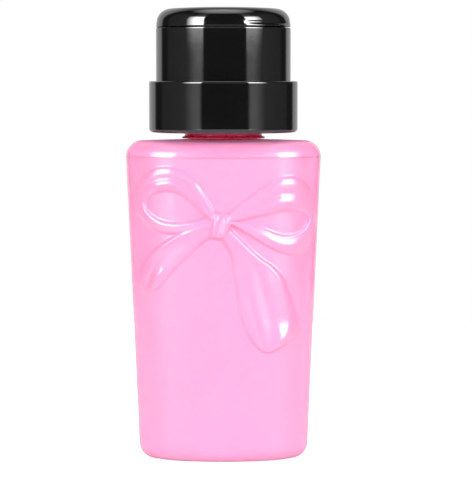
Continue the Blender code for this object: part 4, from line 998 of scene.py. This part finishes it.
def make_lid():
    """The flip lid: a shallow dome with a thumb lip and a tube for its seal."""
    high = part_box("lid")[1]
    seal_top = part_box("lid_seal")[0].z + LID_TUBE_RIM
    base = seam_height() + GAP / 2
    height = high.z - base
    inner_round = LID_ROUND - LID_WALL
    rise = height - LID_CROWN - LID_ROUND * (1 - math.sin(LID_SLOPE))
    draft = math.tan(LID_SLOPE)
    edge = (HEAD_RADIUS - rise * draft - LID_ROUND * math.cos(LID_SLOPE),
            height - LID_CROWN - LID_ROUND)
    lean = math.degrees(LID_SLOPE)
    crown = []
    for step in range(LID_CROWN_STEPS):
        share = step / LID_CROWN_STEPS
        crown.append((edge[0] * share, height - LID_CROWN * share ** 2))
    side = []
    for step in range(1, LID_ROWS):
        z = rise * (1 - step / LID_ROWS)
        side.append((HEAD_RADIUS - z * draft, z))
    middle = EDGE_ROUND * LID_BASE_ROUND_MIDDLE
    bottom = [(HEAD_RADIUS - EDGE_ROUND * draft, EDGE_ROUND),
              (HEAD_RADIUS - middle, middle), (HEAD_RADIUS - EDGE_ROUND, 0)]
    inner = arc(edge, inner_round, lean, 90, LID_INSIDE_STEPS)
    ceiling = height - LID_CROWN - LID_WALL
    tube = seal_top - base
    profile = crown + arc(edge, LID_ROUND, 90, lean, LID_ROUND_STEPS) + side + bottom
    profile += [(HEAD_RADIUS - LID_WALL, 0)] + inner
    profile += [(LID_TUBE_RADIUS, ceiling), (LID_TUBE_RADIUS, tube), (LID_TUBE_BORE_RADIUS, tube),
                (LID_TUBE_BORE_RADIUS, ceiling + GAP), (0, ceiling + GAP)]
    profile = [(reach, z + base) for reach, z in profile]
    mesh = lathe_mesh("flip_lid", profile, SIDES, thumb_shape(base))
    add_piece("flip_lid", mesh, gloss_black, "lid", "head", "lid")


def make_spring():
    """The return spring, wound as its solid is, on a mesh of its own."""
    low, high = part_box("return_spring")
    height = high.z - low.z - 2 * SPRING_WIRE_RADIUS
    count = SPRING_CURLS * SPRING_STEPS
    places = []
    for step in range(count + 1):
        share = step / count
        rise = share - END_CURL_SHARE * math.sin(2 * math.pi * share)
        angle = 2 * math.pi * step / SPRING_STEPS
        places.append(Vector((SPRING_RADIUS * math.cos(angle), SPRING_RADIUS * math.sin(angle),
                              low.z + SPRING_WIRE_RADIUS + height * rise)))
    turns = [2 * math.pi * side / SPRING_SIDES for side in range(SPRING_SIDES)]
    rings = []
    for step, place in enumerate(places):
        ahead = (places[min(step + 1, count)] - places[max(step - 1, 0)]).normalized()
        outward = Vector((place.x, place.y, 0)).normalized()
        across = ahead.cross(outward)
        rings.append([place + (outward * math.cos(turn) + across * math.sin(turn))
                      * SPRING_WIRE_RADIUS for turn in turns])
    mesh = grid_mesh("wound_spring", rings)
    smooth(mesh, SPRING_SHARP_ANGLE)
    item = add_piece("wound_spring", mesh, steel, "pump", "steel", "return_spring")
    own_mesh(item)


def finish_nodes():
    """Give the solids that stay their own finish."""
    finishes = {
        "press_dish": dish_white, "outlet_insert": milky, "pump_cylinder": milky,
        "stem_guide": milky, "guide_seal": rubber, "neck_gasket": foam, "ball_cage": milky,
        "dip_tube": tube_plastic, "stem": milky, "piston": soft_white, "piston_core": milky,
        "lid_seal": soft_white, "inlet_ball": ball_glass, "outlet_ball": ball_glass}
    for name, material in finishes.items():
        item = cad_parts[name]
        for place in item.material_slots:
            place.material = material


scene = bpy.context.scene
scene.view_settings.view_transform = "Standard"
camera = make_camera()
camera_turn = camera.rotation_euler.to_matrix()
make_world()
make_floor()
make_bottle(camera_turn)
make_collar()
make_sleeve()
make_lid()
make_hinge()
make_closure()
make_spring()
finish_nodes()
